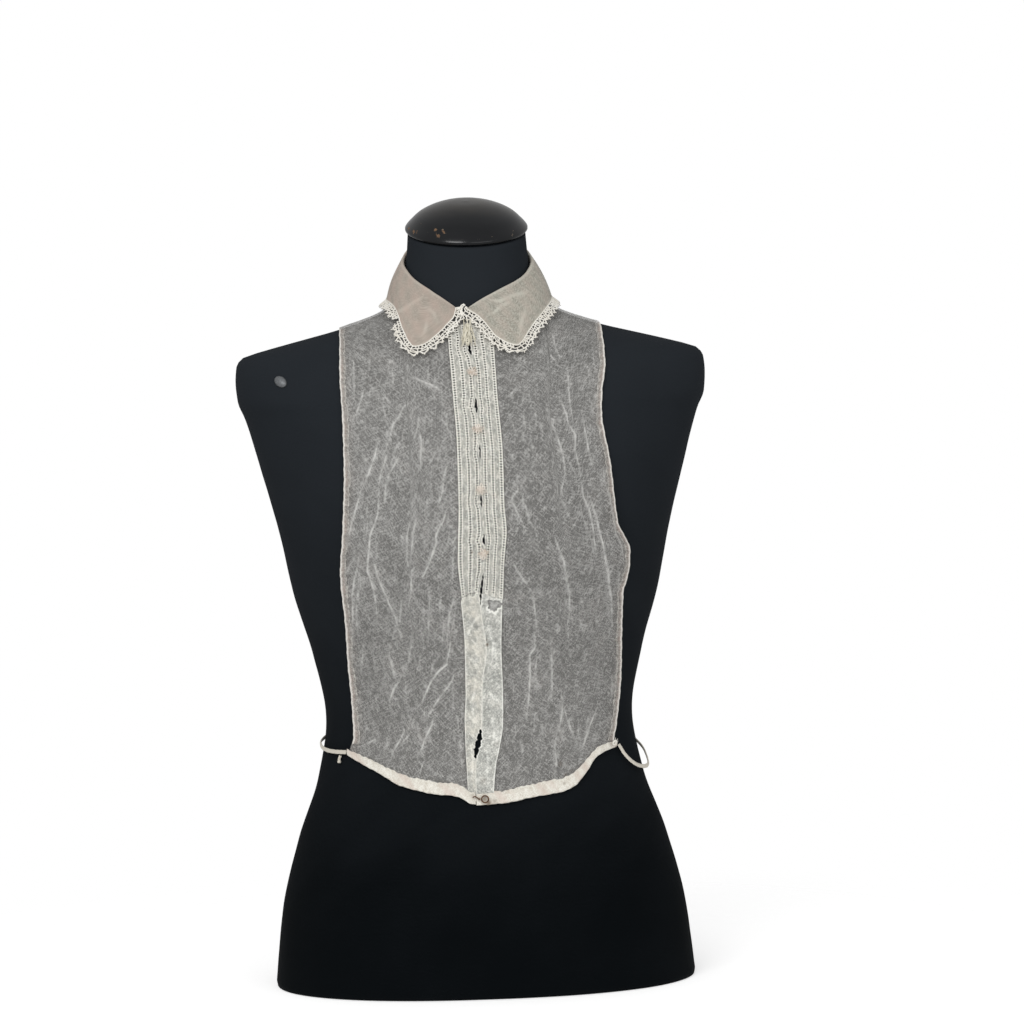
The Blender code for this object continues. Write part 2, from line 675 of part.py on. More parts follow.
def make_facing(side, collection):
    """The plain strip under a placket, down to the waist tape."""
    name = "facing_left" if side < 0 else "facing_right"

    def bottom_at(share):
        inner = side * opening_edge(FACING_FOOT, side)
        across = inner + share * (FACING_EDGE[side].across(FACING_FOOT) - inner)
        return HEM[side].lower(across) + HEM[side].width(across) + FACING_SEAM

    def top_at(share):
        return FACING_TOP * MM + STRIP_END_RISE * (1.0 - share)

    grid = strip_grid(side, FACING_EDGE, FACING_SHARES, FACING_LEVELS, bottom_at, top_at)
    return cloth(name, grid, FACING_WALL, "doubled_cloth", collection)


def cut_worn_hole(facing, cutters):
    """The right facing is worn through near its top."""
    across, height = (value * MM for value in WORN_HOLE_PLACE)
    azimuth = azimuth_at(across, height, -1)
    bpy.ops.mesh.primitive_cylinder_add(vertices=WORN_HOLE_SIDES, radius=WORN_HOLE_RADIUS, depth=CUTTER_DEPTH)
    cutter = bpy.context.object
    cutter.name = "worn_hole_cutter"
    for owner in list(cutter.users_collection):
        owner.objects.unlink(cutter)
    cutters.objects.link(cutter)
    middle = above_form(azimuth, height, LAY + NET_WALL + GAP)
    cutter.matrix_world = outward_frame(middle, form_normal(azimuth, height), WORN_HOLE_TURN)
    cutter.hide_render = True
    cutter.display_type = "WIRE"
    cut = facing.modifiers.new("worn hole", "BOOLEAN")
    cut.operation = "DIFFERENCE"
    cut.object = cutter
    cut.solver = "EXACT"


FRONT_CORNER = 190.0 * MM       # the height of the waist tape's outer end
BACK_CORNER = 200.0 * MM
BAND_OVERHANG = 0.6 * MM        # the tape's end beyond the net's side edge


def make_hem_band(side, collection):
    """The tape along one front's waist edge."""
    name = "hem_band_left" if side < 0 else "hem_band_right"
    grid = [[], [], []]
    level = HEM[side].lower(0.0)
    inner = side * opening_edge(level, side)
    for share in NET_SHARES if side > 0 else reversed(NET_SHARES):
        across = inner + share * (SIDE_EDGE[side].across(FRONT_CORNER) + BAND_OVERHANG - inner)
        lower, width = HEM[side].lower(across), HEM[side].width(across)
        for r, row in enumerate(grid):
            row.append(on_net(side * across, lower + width * r / 2.0, -1, NET_WALL + GAP))
    cloth(name, grid, BAND_WALL, "tape", collection)


def make_back_band(collection):
    """The tape along the back's waist edge."""
    grid = [[], [], []]
    for share in tuple(reversed(NET_SHARES)) + tuple(-share for share in NET_SHARES[1:]):
        across = share * (BACK_EDGE.across(BACK_CORNER) + BAND_OVERHANG)
        lower, width = BACK_HEM.lower(abs(across)), BACK_HEM.width(abs(across))
        for r, row in enumerate(grid):
            row.append(on_net(across, lower + width * r / 2.0, 1, NET_WALL + GAP))
    cloth("hem_band_back", grid, BAND_WALL, "tape", collection)


BUTTON_PROFILE = (
    # share of the radius, share of the thickness
    (0.0, 1.0), (0.45, 0.93), (0.8, 0.66), (1.0, 0.22), (0.9, 0.0), (0.0, 0.0),
)
BUTTON_SIDES = 14
TUFT_SHAPE = (0.95, 1.7, 1.1, 1.0)              # its width, height and rise as shares of a button's


def make_buttons(collection):
    """Thread-covered buttons over the opening, and the thread tuft at the neck."""
    profile = [(radius * BUTTON_RADIUS, rise * BUTTON_THICKNESS) for radius, rise in BUTTON_PROFILE]
    lift = LAY + NET_WALL + GAP + RIB_WALL + SEAM
    for number, height in enumerate(BUTTON_HEIGHTS, 1):
        azimuth = azimuth_at(OPENING.across(height * MM), height * MM, -1)
        place = above_form(azimuth, height * MM, lift)
        placing = outward_frame(place, form_normal(azimuth, height * MM))
        turned(f"button_{number}", profile, BUTTON_SIDES, "thread", collection, placing)
    height = TUFT_HEIGHT * MM
    azimuth = azimuth_at(OPENING.across(height), height, -1)
    place = above_form(azimuth, height, lift + NECK_EASE)
    placing = outward_frame(place, form_normal(azimuth, height)) @ Matrix.Diagonal(TUFT_SHAPE)
    turned("neck_tuft", profile, BUTTON_SIDES, "thread", collection, placing)


HOOK_PLACE = (-1.2, 153.6)                      # the eye's middle: across, height
WIRE_RADIUS = 0.5 * MM
WIRE_LIFT = 0.85 * MM           # the wire's middle above the waist tape
EYE_RADIUS = 2.7 * MM
EYE_POINTS = 16
HOOK_LIFT = 0.15 * MM           # the hook lies this much further out than the eye
HOOK_ROUTE = (
    # across and up from the eye's middle
    (-9.5, 1.6), (-8.0, 2.4), (-6.4, 1.6), (-5.0, 0.4), (-3.9, 0.0),
)


def make_hook_and_eye(collection):
    """A wire hook and its eye on the waist tape at the opening."""
    across, height = (value * MM for value in HOOK_PLACE)
    azimuth = azimuth_at(across, height, -1)
    place = above_form(azimuth, height, LAY + NET_WALL + GAP + BAND_WALL + WIRE_LIFT)
    frame = outward_frame(place, form_normal(azimuth, height))
    turns = [2.0 * math.pi * i / EYE_POINTS for i in range(EYE_POINTS)]
    ring = [frame @ Vector((EYE_RADIUS * math.cos(turn), EYE_RADIUS * math.sin(turn), 0.0)) for turn in turns]
    tube("eye", ring, WIRE_RADIUS, 1, "rusty_wire", collection, cyclic=True)
    hook = [frame @ Vector((x * MM, y * MM, HOOK_LIFT)) for x, y in HOOK_ROUTE]
    tube("hook", hook, WIRE_RADIUS, 1, "rusty_wire", collection)


# ---- the collar and its lace --------------------------------------------------------------------------------
STAND_FACE = 2.2 * MM           # the stand's side of the fold, above the neck
FOLD_RADIUS = 0.5 * MM
STAND_SEAM = 1.2 * MM           # the stand starts this far above the neckline
TIP_REST = 6.8 * MM             # the fall's inner face above the form, over the plackets
FALL_REST = 6.5 * MM            # and over the net alone
REST_PARTS = (0.18, 0.36)       # the rest changes between these parts of the collar
FALL_POINTS = 7
FALL_BULGE = 1.6 * MM
FALL_RISE = 0.3                 # the bulge leans up by this much of its reach


def drifted(azimuth, height, side):
    """An azimuth on one side, carried with the opening where it is near the front."""
    radius = math.hypot(*form_point(azimuth, height).xy)
    return side * azimuth + TIP_DRIFT / radius * math.exp(-((azimuth / TIP_DRIFT_SPAN) ** 2))


def fall_rest(part):
    """The height of the fall's edge above the form."""
    return TIP_REST + (FALL_REST - TIP_REST) * ramp(part, *REST_PARTS)


def collar_edge(side, part):
    """A point of the fall's edge, on its inner face."""
    height = COLLAR.edge_height(part)
    azimuth = drifted(COLLAR.edge_azimuth(part), height, side)
    return above_form(azimuth, height, fall_rest(part))


def collar_column(side, part):
    """One section of the collar: up the stand, over the fold and down the fall."""
    fold = COLLAR.fold_height(part)
    turn = COLLAR.fold_azimuth(part)
    azimuth = drifted(turn, fold, side)
    foot = NECKLINE.height(turn) + STAND_SEAM
    shoulder = fold - FOLD_RADIUS
    points = [above_form(azimuth, foot + (shoulder - foot) * t, STAND_FACE) for t in (0.0, 0.5, 1.0)]
    points.append(above_form(azimuth, fold, STAND_FACE + FOLD_RADIUS))
    start = above_form(azimuth, shoulder, STAND_FACE + 2.0 * FOLD_RADIUS)
    end = collar_edge(side, part)
    outward = Vector((math.sin(azimuth), -math.cos(azimuth), FALL_RISE))
    for i in range(FALL_POINTS):
        t = i / (FALL_POINTS - 1)
        point = start.lerp(end, t) + outward * (FALL_BULGE * math.sin(math.pi * t))
        if 0 < i < FALL_POINTS - 1:
            nearest = STAND_FACE + 2.0 * FOLD_RADIUS + (fall_rest(part) - STAND_FACE - 2.0 * FOLD_RADIUS) * t
            point = settle(point, nearest, lower=False)
        points.append(point)
    return points


def collar_parts():
    """Each column's side and part, from the left front tip round the back to the right front tip."""
    left = [(-1, part) for part in COLLAR_PARTS]
    right = [(1, part) for part in reversed(COLLAR_PARTS[:-1])]
    return left + right


def make_collar(collection):
    """The stand and the fall, in one folded piece."""
    columns = [collar_column(side, part) for side, part in collar_parts()]
    # Seen from outside, +X is to the right along the front and the columns run the other way round.
    grid = [[column[r] for column in reversed(columns)] for r in reversed(range(len(columns[0])))]
    cloth("collar", grid, COLLAR_WALL, "doubled_cloth", collection)


LACE_ROWS = (0.0, 0.26, 0.70, 1.0)              # shares of the lace's width
LACE_EYE = (0.22, 0.78)                         # where an eye starts and ends in its repeat
LACE_TEAR_AT = Vector((-66.0, -50.0, 523.0)) * MM
LACE_STEP = 0.004               # the step along the collar that gives the edge's direction


def even_edge_places(shares):
    """The side and part of the fall's edge at these shares of its length, from the left tip to the right."""
    fine = 300
    places = [(-1, i / fine) for i in range(fine + 1)] + [(1, i / fine) for i in reversed(range(fine))]
    points = [collar_edge(side, part) for side, part in places]
    lengths = [0.0]
    for a, b in zip(points, points[1:]):
        lengths.append(lengths[-1] + (b - a).length)
    found = []
    j = 0
    for share in shares:
        target = share * lengths[-1]
        while j < len(lengths) - 2 and lengths[j + 1] < target:
            j += 1
        t = (target - lengths[j]) / (lengths[j + 1] - lengths[j])
        part = places[j][1] + t * (places[j + 1][1] - places[j][1])
        found.append((places[j + 1][0] if part < 1.0 and j >= fine else -1, part))
    return found


def lace_root(side, part):
    """Where the lace starts beside the fall's edge, and the way it runs from there."""
    point = collar_edge(side, part)
    before, after = max(part - LACE_STEP, 0.0), min(part + LACE_STEP, 1.0)
    along = (collar_edge(side, after) - collar_edge(side, before)) * side
    azimuth, height = foot_of(point)
    outward = along.cross(form_normal(azimuth, height)).normalized()
    fall = point - collar_column(side, part)[-2]
    fall_normal = fall.cross(along).normalized()
    clearance = SEAM + LACE_CLEARANCE + COLLAR_WALL * max(fall_normal.dot(outward), 0.0)
    return point, outward, clearance


def make_lace(collection):
    """Needle lace sewn round the fall's edge: an eye through each repeat, a scalloped outer edge."""
    shares = []
    for repeat in range(LACE_REPEATS):
        shares += [(repeat + offset) / LACE_REPEATS for offset in (0.0, *LACE_EYE)]
    shares.append(1.0)
    grid = [[] for _ in LACE_ROWS]
    for number, (side, part) in enumerate(even_edge_places(shares)):
        point, outward, clearance = lace_root(side, part)
        reach = LACE_WIDTH + (SCALLOP_DEPTH if number % 3 else 0.0)
        for row, share in zip(grid, LACE_ROWS):
            offset = clearance + (reach - clearance) * share
            row.append(settle(point + outward * offset, fall_rest(part)))
    skip = {(1, 3 * repeat + 1) for repeat in range(LACE_REPEATS)}
    tear = min(range(LACE_REPEATS), key=lambda n: (grid[3][3 * n + 1] - LACE_TEAR_AT).length)
    skip.add((2, 3 * tear + 1))
    # The columns run from the left tip round the back, so the rows are turned to face outward.
    cloth("collar_lace", grid[::-1], LACE_WALL, "lace", collection,
          skip={(len(LACE_ROWS) - 2 - row, column) for row, column in skip})


# ---- the ties -----------------------------------------------------------------------------------------------
def smooth_route(points, per_stretch):
    """A smooth line through the route's own points."""
    ends = [points[0] * 2.0 - points[1]] + list(points) + [points[-1] * 2.0 - points[-2]]
    line = []
    for a, b, c, d in zip(ends, ends[1:], ends[2:], ends[3:]):
        for i in range(per_stretch):
            t = i / per_stretch
            line.append(0.5 * ((2.0 * b) + (c - a) * t + (2.0 * a - 5.0 * b + 4.0 * c - d) * t**2
                               + (3.0 * b - a - 3.0 * c + d) * t**3))
    line.append(points[-1])
    return line


KNOT_PROFILE = (
    # share of the radius, rise as a share of the radius
    (0.0, 1.5), (0.6, 1.35), (1.0, 0.8), (0.8, 0.15), (0.5, 0.0), (0.0, 0.0),
)


def tie_route(route):
    """A smooth line through a route's places above the form."""
    points = [above_form(azimuth * DEGREE, height * MM, stand_off * MM) for azimuth, height, stand_off in route]
    return smooth_route(points, 2)


def make_ties(collection):
    """Tapes from the front corners round the sides to the back corners; the right one hangs slack."""
    for name, route in TIE_ROUTES.items():
        tube(name, tie_route(route), TIE_RADIUS, 2, "tape", collection)
    tube("tie_left_end", tie_route(TIE_END_ROUTE), TIE_END_RADIUS, 1, "tape", collection)
    azimuth, height = KNOT_PLACE[0] * DEGREE, KNOT_PLACE[1] * MM
    place = above_form(azimuth, height, LAY + NET_WALL + GAP + BAND_WALL + SEAM)
    placing = outward_frame(place, form_normal(azimuth, height))
    profile = [(radius * KNOT_RADIUS, rise * KNOT_RADIUS) for radius, rise in KNOT_PROFILE]
    turned("tie_right_knot", profile, 12, "tape", collection, placing)


# ---- assembly -----------------------------------------------------------------------------------------------
def clear_scene():
    """Empties the file of its first objects."""
    for made in list(bpy.data.objects):
        bpy.data.objects.remove(made, do_unlink=True)


def new_collection(name):
    """A collection of this name in the scene."""
    made = bpy.data.collections.new(name)
    bpy.context.scene.collection.children.link(made)
    return made


def main():
    """Builds every piece."""
    clear_scene()
    parts = new_collection("chemisette_on_form")
    cutters = new_collection("cutters")
    make_form(parts)
    make_cap(parts)
    make_stud(parts)
    for side in (-1, 1):
        make_front(side, parts)
        make_placket(side, parts)
        facing = make_facing(side, parts)
        if side > 0:
            cut_worn_hole(facing, cutters)
        make_hem_band(side, parts)
    make_back(parts)
    make_back_band(parts)
    make_buttons(parts)
    make_hook_and_eye(parts)
    make_collar(parts)
    make_lace(parts)
    make_ties(parts)


main()
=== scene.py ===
"""A sheer net chemisette with a lace-edged turn-down collar, buttoned on a black dress form.

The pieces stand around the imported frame, in metres, +Z up, the front facing -Y.
The tables are in millimetres and degrees; MM and DEGREE turn them into the script's units.
"""
import json
import math

import bpy
import numpy as np
from mathutils import Matrix, Vector

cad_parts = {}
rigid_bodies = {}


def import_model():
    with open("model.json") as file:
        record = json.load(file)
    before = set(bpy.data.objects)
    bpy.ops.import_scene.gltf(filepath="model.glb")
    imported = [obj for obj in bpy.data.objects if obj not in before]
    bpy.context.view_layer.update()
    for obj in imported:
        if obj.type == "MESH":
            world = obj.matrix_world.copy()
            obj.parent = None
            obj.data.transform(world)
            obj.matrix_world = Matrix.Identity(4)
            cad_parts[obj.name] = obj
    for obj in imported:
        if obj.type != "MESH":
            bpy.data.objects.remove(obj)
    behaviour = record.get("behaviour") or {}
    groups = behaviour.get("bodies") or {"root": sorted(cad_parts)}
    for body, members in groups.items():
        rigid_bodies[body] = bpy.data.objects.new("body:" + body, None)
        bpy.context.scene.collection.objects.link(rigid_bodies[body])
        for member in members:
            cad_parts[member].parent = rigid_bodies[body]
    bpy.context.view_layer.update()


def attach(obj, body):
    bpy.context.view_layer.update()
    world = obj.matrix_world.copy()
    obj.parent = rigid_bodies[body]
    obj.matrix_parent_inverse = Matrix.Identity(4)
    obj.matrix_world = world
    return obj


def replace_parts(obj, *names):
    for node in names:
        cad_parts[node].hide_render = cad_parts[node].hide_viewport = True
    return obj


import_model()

MM = 0.001
DEGREE = math.radians(1.0)
RANDOM = np.random.default_rng(41)

# ---- camera --------------------------------------------------------------------------------------
CAMERA_AIM = Vector((0.0305, 0.0, 0.3725))
CAMERA_DISTANCE = 2.6
CAMERA_YAW = -3.0 * DEGREE
CAMERA_ROLL = 1.5 * DEGREE
CAMERA_HEIGHT = 0.47
FOCAL_PIXELS, IMAGE_PIXELS, SENSOR = 3250.0, 1024.0, 36.0


def make_camera():
    """The camera at the photograph's viewing angle."""
    eye = Vector((CAMERA_AIM.x + CAMERA_DISTANCE * math.sin(CAMERA_YAW),
                  -CAMERA_DISTANCE * math.cos(CAMERA_YAW), CAMERA_HEIGHT))
    forward = (CAMERA_AIM - eye).normalized()
    right = forward.cross(Vector((0.0, 0.0, 1.0))).normalized()
    up = right.cross(forward)
    cosine, sine = math.cos(CAMERA_ROLL), math.sin(CAMERA_ROLL)
    across, above = right * cosine - up * sine, right * sine + up * cosine
    data = bpy.data.cameras.new("camera")
    data.sensor_width = SENSOR
    data.lens = SENSOR * FOCAL_PIXELS / IMAGE_PIXELS
    data.clip_end = 50.0
    camera = bpy.data.objects.new("camera", data)
    bpy.context.scene.collection.objects.link(camera)
    camera.matrix_world = Matrix.Translation(eye) @ Matrix((across, above, -forward)).transposed().to_4x4()
    bpy.context.scene.camera = camera


make_camera()


# ---- tables, as in the part's source -------------------------------------------------------------
class Curve:
    """A smooth curve through the points that never overshoots them."""

    def __init__(self, keys, values):
        self.keys, self.values = np.array(keys, float), np.array(values, float)
        self.steps = np.diff(self.keys)
        slopes = np.diff(self.values) / self.steps
        self.tangents = np.zeros(len(keys))
        self.tangents[0], self.tangents[-1] = slopes[0], slopes[-1]
        for i in range(1, len(slopes)):
            before, after = slopes[i - 1], slopes[i]
            if before * after > 0.0:
                first = 2.0 * self.steps[i] + self.steps[i - 1]
                second = self.steps[i] + 2.0 * self.steps[i - 1]
                self.tangents[i] = (first + second) / (first / before + second / after)

    def __call__(self, key):
        key = np.clip(key, self.keys[0], self.keys[-1])
        i = np.clip(np.searchsorted(self.keys, key) - 1, 0, len(self.steps) - 1)
        step = self.steps[i]
        t = (key - self.keys[i]) / step
        return ((2 * t**3 - 3 * t**2 + 1) * self.values[i] + (t**3 - 2 * t**2 + t) * step * self.tangents[i]
                + (3 * t**2 - 2 * t**3) * self.values[i + 1] + (t**3 - t**2) * step * self.tangents[i + 1])


def rows_of(text):
    """Rows of numbers, parted by commas."""
    return [tuple(map(float, row.split())) for row in text.split(",")]


class Table:
    """Rows under named columns; each column after the first is a smooth curve of the first."""

    def __init__(self, columns, text, scales=None):
        names, rows = columns.split(), rows_of(text)
        scales = scales or [MM] * len(names)
        keys = [row[0] * scales[0] for row in rows]
        for i, name in enumerate(names[1:], 1):
            setattr(self, name, Curve(keys, [row[i] * scales[i] for row in rows]))


SIDES = {-1: "left", 1: "right"}

# The form's level sections: half its width, its depth in front and behind, and how square the section is.
FORM = Table("height half_width front back square", """
    0 168.5 104 116 2.3, 60 161.5 104 114 2.3, 118 146.6 98 98 2.25, 166 130 89 76 2.2,
    212 122.7 84 62 2.15, 262 131.5 93 67 2.2, 311 145.5 108 78 2.25, 360 155.5 118 86 2.3,
    407 167.6 115 92 2.4, 453 180.5 97 92 2.7, 466 185.6 91 90 3, 482 187 83 87 3, 494 186 75 83 3,
    500.5 181.5 71 80 2.8, 507.5 159 67 77 2.5, 515 129.5 62 73 2.3, 521.5 104 58 69 2.2,
    526.5 88 55.5 66.5 2.15, 532 73.5 53.5 64 2.1, 537.5 63.5 51.5 61 2.05, 545 56 49.5 57.5 2,
    558 51 47 53 2, 575 48.6 45.5 50 2, 597 47 45 48.5 2""", (MM, MM, MM, MM, 1.0))

# The front opening's line, left or right of the middle.
OPENING = Table("height across", """
    148 -8, 169 -8.4, 186 -7.4, 203 -3.6, 214 -2.2, 244 -1.4, 271 2.3, 305 -1.6, 333 1, 356 2, 387 0.8,
    425 1.1, 457 -0.2, 482 -0.5, 502 -3.2, 534 -7""")
SIDE_EDGE = {
    -1: Table("height across", """
        160 104.5, 190 103, 202 99.5, 227 100.2, 259 102.5, 294 104, 331 106.7, 363 104.3, 415 102.1,
        451 102.6, 483 104, 521 103"""),
    1: Table("height across", """
        160 104, 193 101.8, 204 104, 243 108.5, 309 109.8, 332 114.6, 344 115.2, 368 104.2, 410 101,
        450 96.6, 467 98, 488 101.8, 521 102.3"""),
}
BACK_EDGE = Table("height across", "160 98, 204 97, 260 101, 331 106, 400 104, 521 102.6")
# The waist edge under its tape: the tape's lower edge and its width, by the distance from the middle.
HEM = {
    -1: Table("across lower width", """
        0 149 10, 11 150.5 10, 22 156 9.8, 40 158.6 9.8, 54 161.4 9.6, 67 165.8 9.4, 78 172 8.4, 90 178.8 7,
        104 186.4 5.4"""),
    1: Table("across lower width", """
        -8 149.4 9.6, 6 149.6 9.8, 31 152.9 10.2, 48 155.4 10.6, 60 156.6 10.8, 70 161.4 10.4, 78 170 9.6,
        88 181.6 6.6, 104 187.8 4.6"""),
}
BACK_HEM = Table("across lower width", "0 186 9, 50 188 9, 100 196 8")

NECKLINE = Table("azimuth height", "0 529.5, 45 533, 90 545, 135 552, 180 555", (DEGREE, MM))

# The turn-down collar from its front tip to the middle of the back: the fold, and the edge of the fall.
COLLAR = Table("part fold_azimuth fold_height", """
    0 5 533.6, 0.06 10 537, 0.14 19 542.2, 0.24 32 548.6, 0.33 44 554, 0.42 58 561, 0.52 74 569,
    0.63 95 575, 0.8 135 583, 1 180 587""", (1.0, DEGREE, MM))
TIP_DRIFT = -7.0 * MM           # the collar's front opens a little to the left of the middle
TIP_DRIFT_SPAN = 42.0 * DEGREE

# The largest folds of the net, as soft ridges: where each starts and ends, its height and half its width.
RIDGES = {
    "front": rows_of("""
        -40 470 -98 330 2.2 8, -60 495 -92 420 1.8 8, -38 400 -70 250 2 8, -88 300 -60 205 1.8 8,
        88 440 108 315 3.4 8.5, 62 455 84 290 2.4 8, 36 420 62 265 1.9 8, 58 250 96 215 1.8 8"""),
    "back": rows_of("""
        -30 460 -70 300 2 9, -78 440 -84 290 1.8 9, 26 470 58 320 2 9, 80 400 74 250 1.8 9,
        -10 330 6 225 1.6 9"""),
}
RIDGE_CLEAR = 24.0 * MM         # a ridge dies out this near to the opening
RIDGE_FADE = 14.0 * MM

# Routes of the ties: the azimuth, the height, and the stand-off of the tape's middle from the form.
TIE_ROUTES = {
    "tie_left": rows_of("""
        -64.6 189.1 3.1, -67.4 188.9 2.9, -71 188.6 2.8, -77 188.8 2.8, -84 190 2.8, -92 192.6 2.8,
        -100 195.6 2.8, -106 198 2.9, -112.7 200.6 3"""),
    "tie_right": rows_of("""
        64 188.6 3.4, 64.4 185.6 4.2, 65.2 180.6 5, 67.4 175 5.4, 71 170.4 5.2, 77 167.6 4.8, 84 167.6 5,
        90.5 171.8 5.4, 95.5 178.6 5.6, 101 186.4 4.6, 106.5 193.6 3.6, 112.7 200.6 3"""),
}
# The knotted end that hangs from the left tie, and the knot on the right corner.
TIE_END_ROUTE = rows_of("-67.6 186 2.4, -67.9 183.4 2.4, -67.5 180.4 2.5")
TIE_END_RADIUS = 1.2 * MM
KNOT_PLACE = (60.4, 190.2)                      # azimuth, height

STRIP_EDGE = {
    "placket": {
        -1: Table("height across", "300 15.2, 311 15.5, 341 18, 383 16.4, 428 16.2, 473 18, 516 19.6"),
        1: Table("height across", """
            300 15.8, 311 16, 340 17.3, 365 19.6, 383 18.4, 420 18.6, 469 16.6, 516 16"""),
    },
    "facing": {
        -1: Table("height across", "150 13.6, 166 14, 214 14.8, 237 13.6, 276 13.8, 309 16"),
        1: Table("height across", """
            150 5.4, 160 6, 179.5 8.2, 191 10.9, 213 14.6, 236 15, 271 14.2, 305 15.2, 316 15.6"""),
    },
}

# ---- heights of the layers above the form --------------------------------------------------------
LAY = 1.8 * MM                  # the net's inner face
NET_THREAD = 0.35 * MM          # the net's own thickness
NECK_EASE, NECK_EASE_FROM, NECK_EASE_TO = 0.8 * MM, 488.0 * MM, 522.0 * MM
STRIP_LIFT = 2.2 * MM           # a strip's outer face above LAY
SEAM = 0.3 * MM                 # half the gap between front and back at the shoulder
NECK_SLANT = math.tan(18.0 * DEGREE)
NECK_SLANT_START, NECK_TOP = 548.0 * MM, 597.0 * MM

# Where the front edges part: top, bottom and how wide, in millimetres.
SLITS = rows_of("""
    507 494 2.3, 464 450 2.2, 432 413 1.5, 393 379 1.7, 362 351 1.9, 336 303 1.9, 209 184 4.4""")
EDGE_GAP = 0.25 * MM            # half the gap where the edges meet
FRAY = rows_of("2.9 0.16 0.4, 1.7 0.12 2.1, 5.3 0.2 1.3")   # a slit's ragged edge: length, size, phase
PLACKET_TOP, PLACKET_BOTTOM, FACING_TOP = 519.5 * MM, 311.0 * MM, 309.5 * MM
STRIP_END_RISE = 5.0 * MM       # the strips' ends slant up to the opening


# ---- the form's surface --------------------------------------------------------------------------
def ramp(value, low, high):
    """0 below low, 1 above high, smooth between."""
    t = unit_clip((value - low) / (high - low))
    return t * t * (3.0 - 2.0 * t)


def bell(off, width, power=2):
    """1 at the middle, falling away to either side."""
    return np.exp(-((off / width) ** power))


def unit_clip(value):
    """The value, kept between 0 and 1."""
    return np.clip(value, 0.0, 1.0)


def form_slant(height):
    """How steeply the form's sections lean forward at this height."""
    return NECK_SLANT * ramp(height, NECK_SLANT_START, NECK_TOP)


def form_point(azimuth, height):
    """Points of the form; azimuth 0 is the front, a quarter turn is +X."""
    azimuth, height = np.broadcast_arrays(np.asarray(azimuth, float), np.asarray(height, float))
    square = FORM.square(height)
    depth = np.where(np.cos(azimuth) > 0.0, FORM.front(height), FORM.back(height))
    across = np.abs(np.sin(azimuth)) / FORM.half_width(height)
    along = np.abs(np.cos(azimuth)) / depth
    radius = (across**square + along**square) ** (-1.0 / square)
    y = -radius * np.cos(azimuth)
    return np.stack([radius * np.sin(azimuth), y, height + form_slant(height) * y], -1)


def unit(vectors):
    """The vectors at length 1."""
    return vectors / np.maximum(np.linalg.norm(vectors, axis=-1, keepdims=True), 1e-12)


def form_normal(azimuth, height):
    """The way out of the form at its points."""
    turn, rise = 0.5 * DEGREE, 0.6 * MM
    around = form_point(azimuth + turn, height) - form_point(azimuth - turn, height)
    up = form_point(azimuth, height + rise) - form_point(azimuth, height - rise)
    return unit(np.cross(around, up))


def above_form(azimuth, height, distance):
    """Points this far out from the form's own."""
    distance = np.asarray(distance, float)[..., None]
    return form_point(azimuth, height) + form_normal(azimuth, height) * distance


def azimuth_at(across, height, face):
    """The azimuth of the form's points this far across, on its front (-1) or its back (+1)."""
    half_width, square = FORM.half_width(height), FORM.square(height)
    depth = FORM.front(height) if face < 0 else FORM.back(height)
    share = np.minimum(np.abs(across) / half_width, 1.0)
    y = face * depth * (1.0 - share**square) ** (1.0 / square)
    return np.arctan2(across, -y)


def foot_of(point):
    """The azimuth and height of the form's points that lie level with these."""
    azimuth = np.arctan2(point[..., 0], -point[..., 1])
    height = point[..., 2]
    for _ in range(6):
        height = point[..., 2] - form_slant(height) * form_point(azimuth, height)[..., 1]
    return azimuth, height


def rise_of(point):
    """How far points stand from the form, and the way out of it."""
    azimuth, height = foot_of(point)
    normal = form_normal(azimuth, height)
    return np.sum((point - form_point(azimuth, height)) * normal, axis=-1), normal


def settle(point, distance, lower=True):
    """Moves points along the form's normal until they lie this far from it, or only out if not lower."""
    for _ in range(4):
        rise, normal = rise_of(point)
        change = distance - rise
        if not lower:
            change = np.maximum(change, 0.0)
        point = point + normal * change[..., None]
    return point


def ridge_rise(across, height, face):
    """How far the net's largest folds lift it."""
    rise = np.zeros(np.broadcast(across, height).shape)
    for x1, z1, x2, z2, top, reach in RIDGES["front" if face < 0 else "back"]:
        along_x, along_z = (x2 - x1) * MM, (z2 - z1) * MM
        length = math.hypot(along_x, along_z)
        off_x, off_z = across - x1 * MM, height - z1 * MM
        part = unit_clip((off_x * along_x + off_z * along_z) / length**2)
        aside = (off_x * along_z - off_z * along_x) / length
        rise = rise + top * MM * np.sin(math.pi * part) ** 0.7 * bell(aside, reach * MM)
    if face < 0:
        rise = rise * ramp(np.abs(across - OPENING.across(height)), RIDGE_CLEAR, RIDGE_CLEAR + RIDGE_FADE)
    return rise


def on_net(across, height, face, lift):
    """Points this far above the inner face of the net, which lies on the form."""
    azimuth = azimuth_at(across, height, face)
    ease = NECK_EASE * ramp(height, NECK_EASE_FROM, NECK_EASE_TO)
    return above_form(azimuth, height, LAY + ease + ridge_rise(across, height, face) + lift)


def opening_edge(height, side):
    """The front edge of one side."""
    half_gap = np.full(np.shape(height), EDGE_GAP)
    for top, bottom, width in SLITS:
        share = unit_clip((height - bottom * MM) / ((top - bottom) * MM))
        ragged = sum(size * np.sin(2.0 * math.pi * height / (length * MM) + phase + side)
                     for length, size, phase in FRAY)
        half_gap = np.maximum(half_gap, 0.5 * width * MM * np.sin(math.pi * share) ** 0.7 * (1.0 + ragged))
    return OPENING.across(height) + side * half_gap


# ---- mesh helpers --------------------------------------------------------------------------------
MADE = {}


def finished(name, mesh, material):
    """An object of the mesh that rides on the part."""
    made = MADE[name] = bpy.data.objects.new(name, mesh)
    bpy.context.scene.collection.objects.link(made)
    mesh.materials.append(MATERIALS[material])
    mesh.shade_smooth()
    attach(made, "root")
    return made


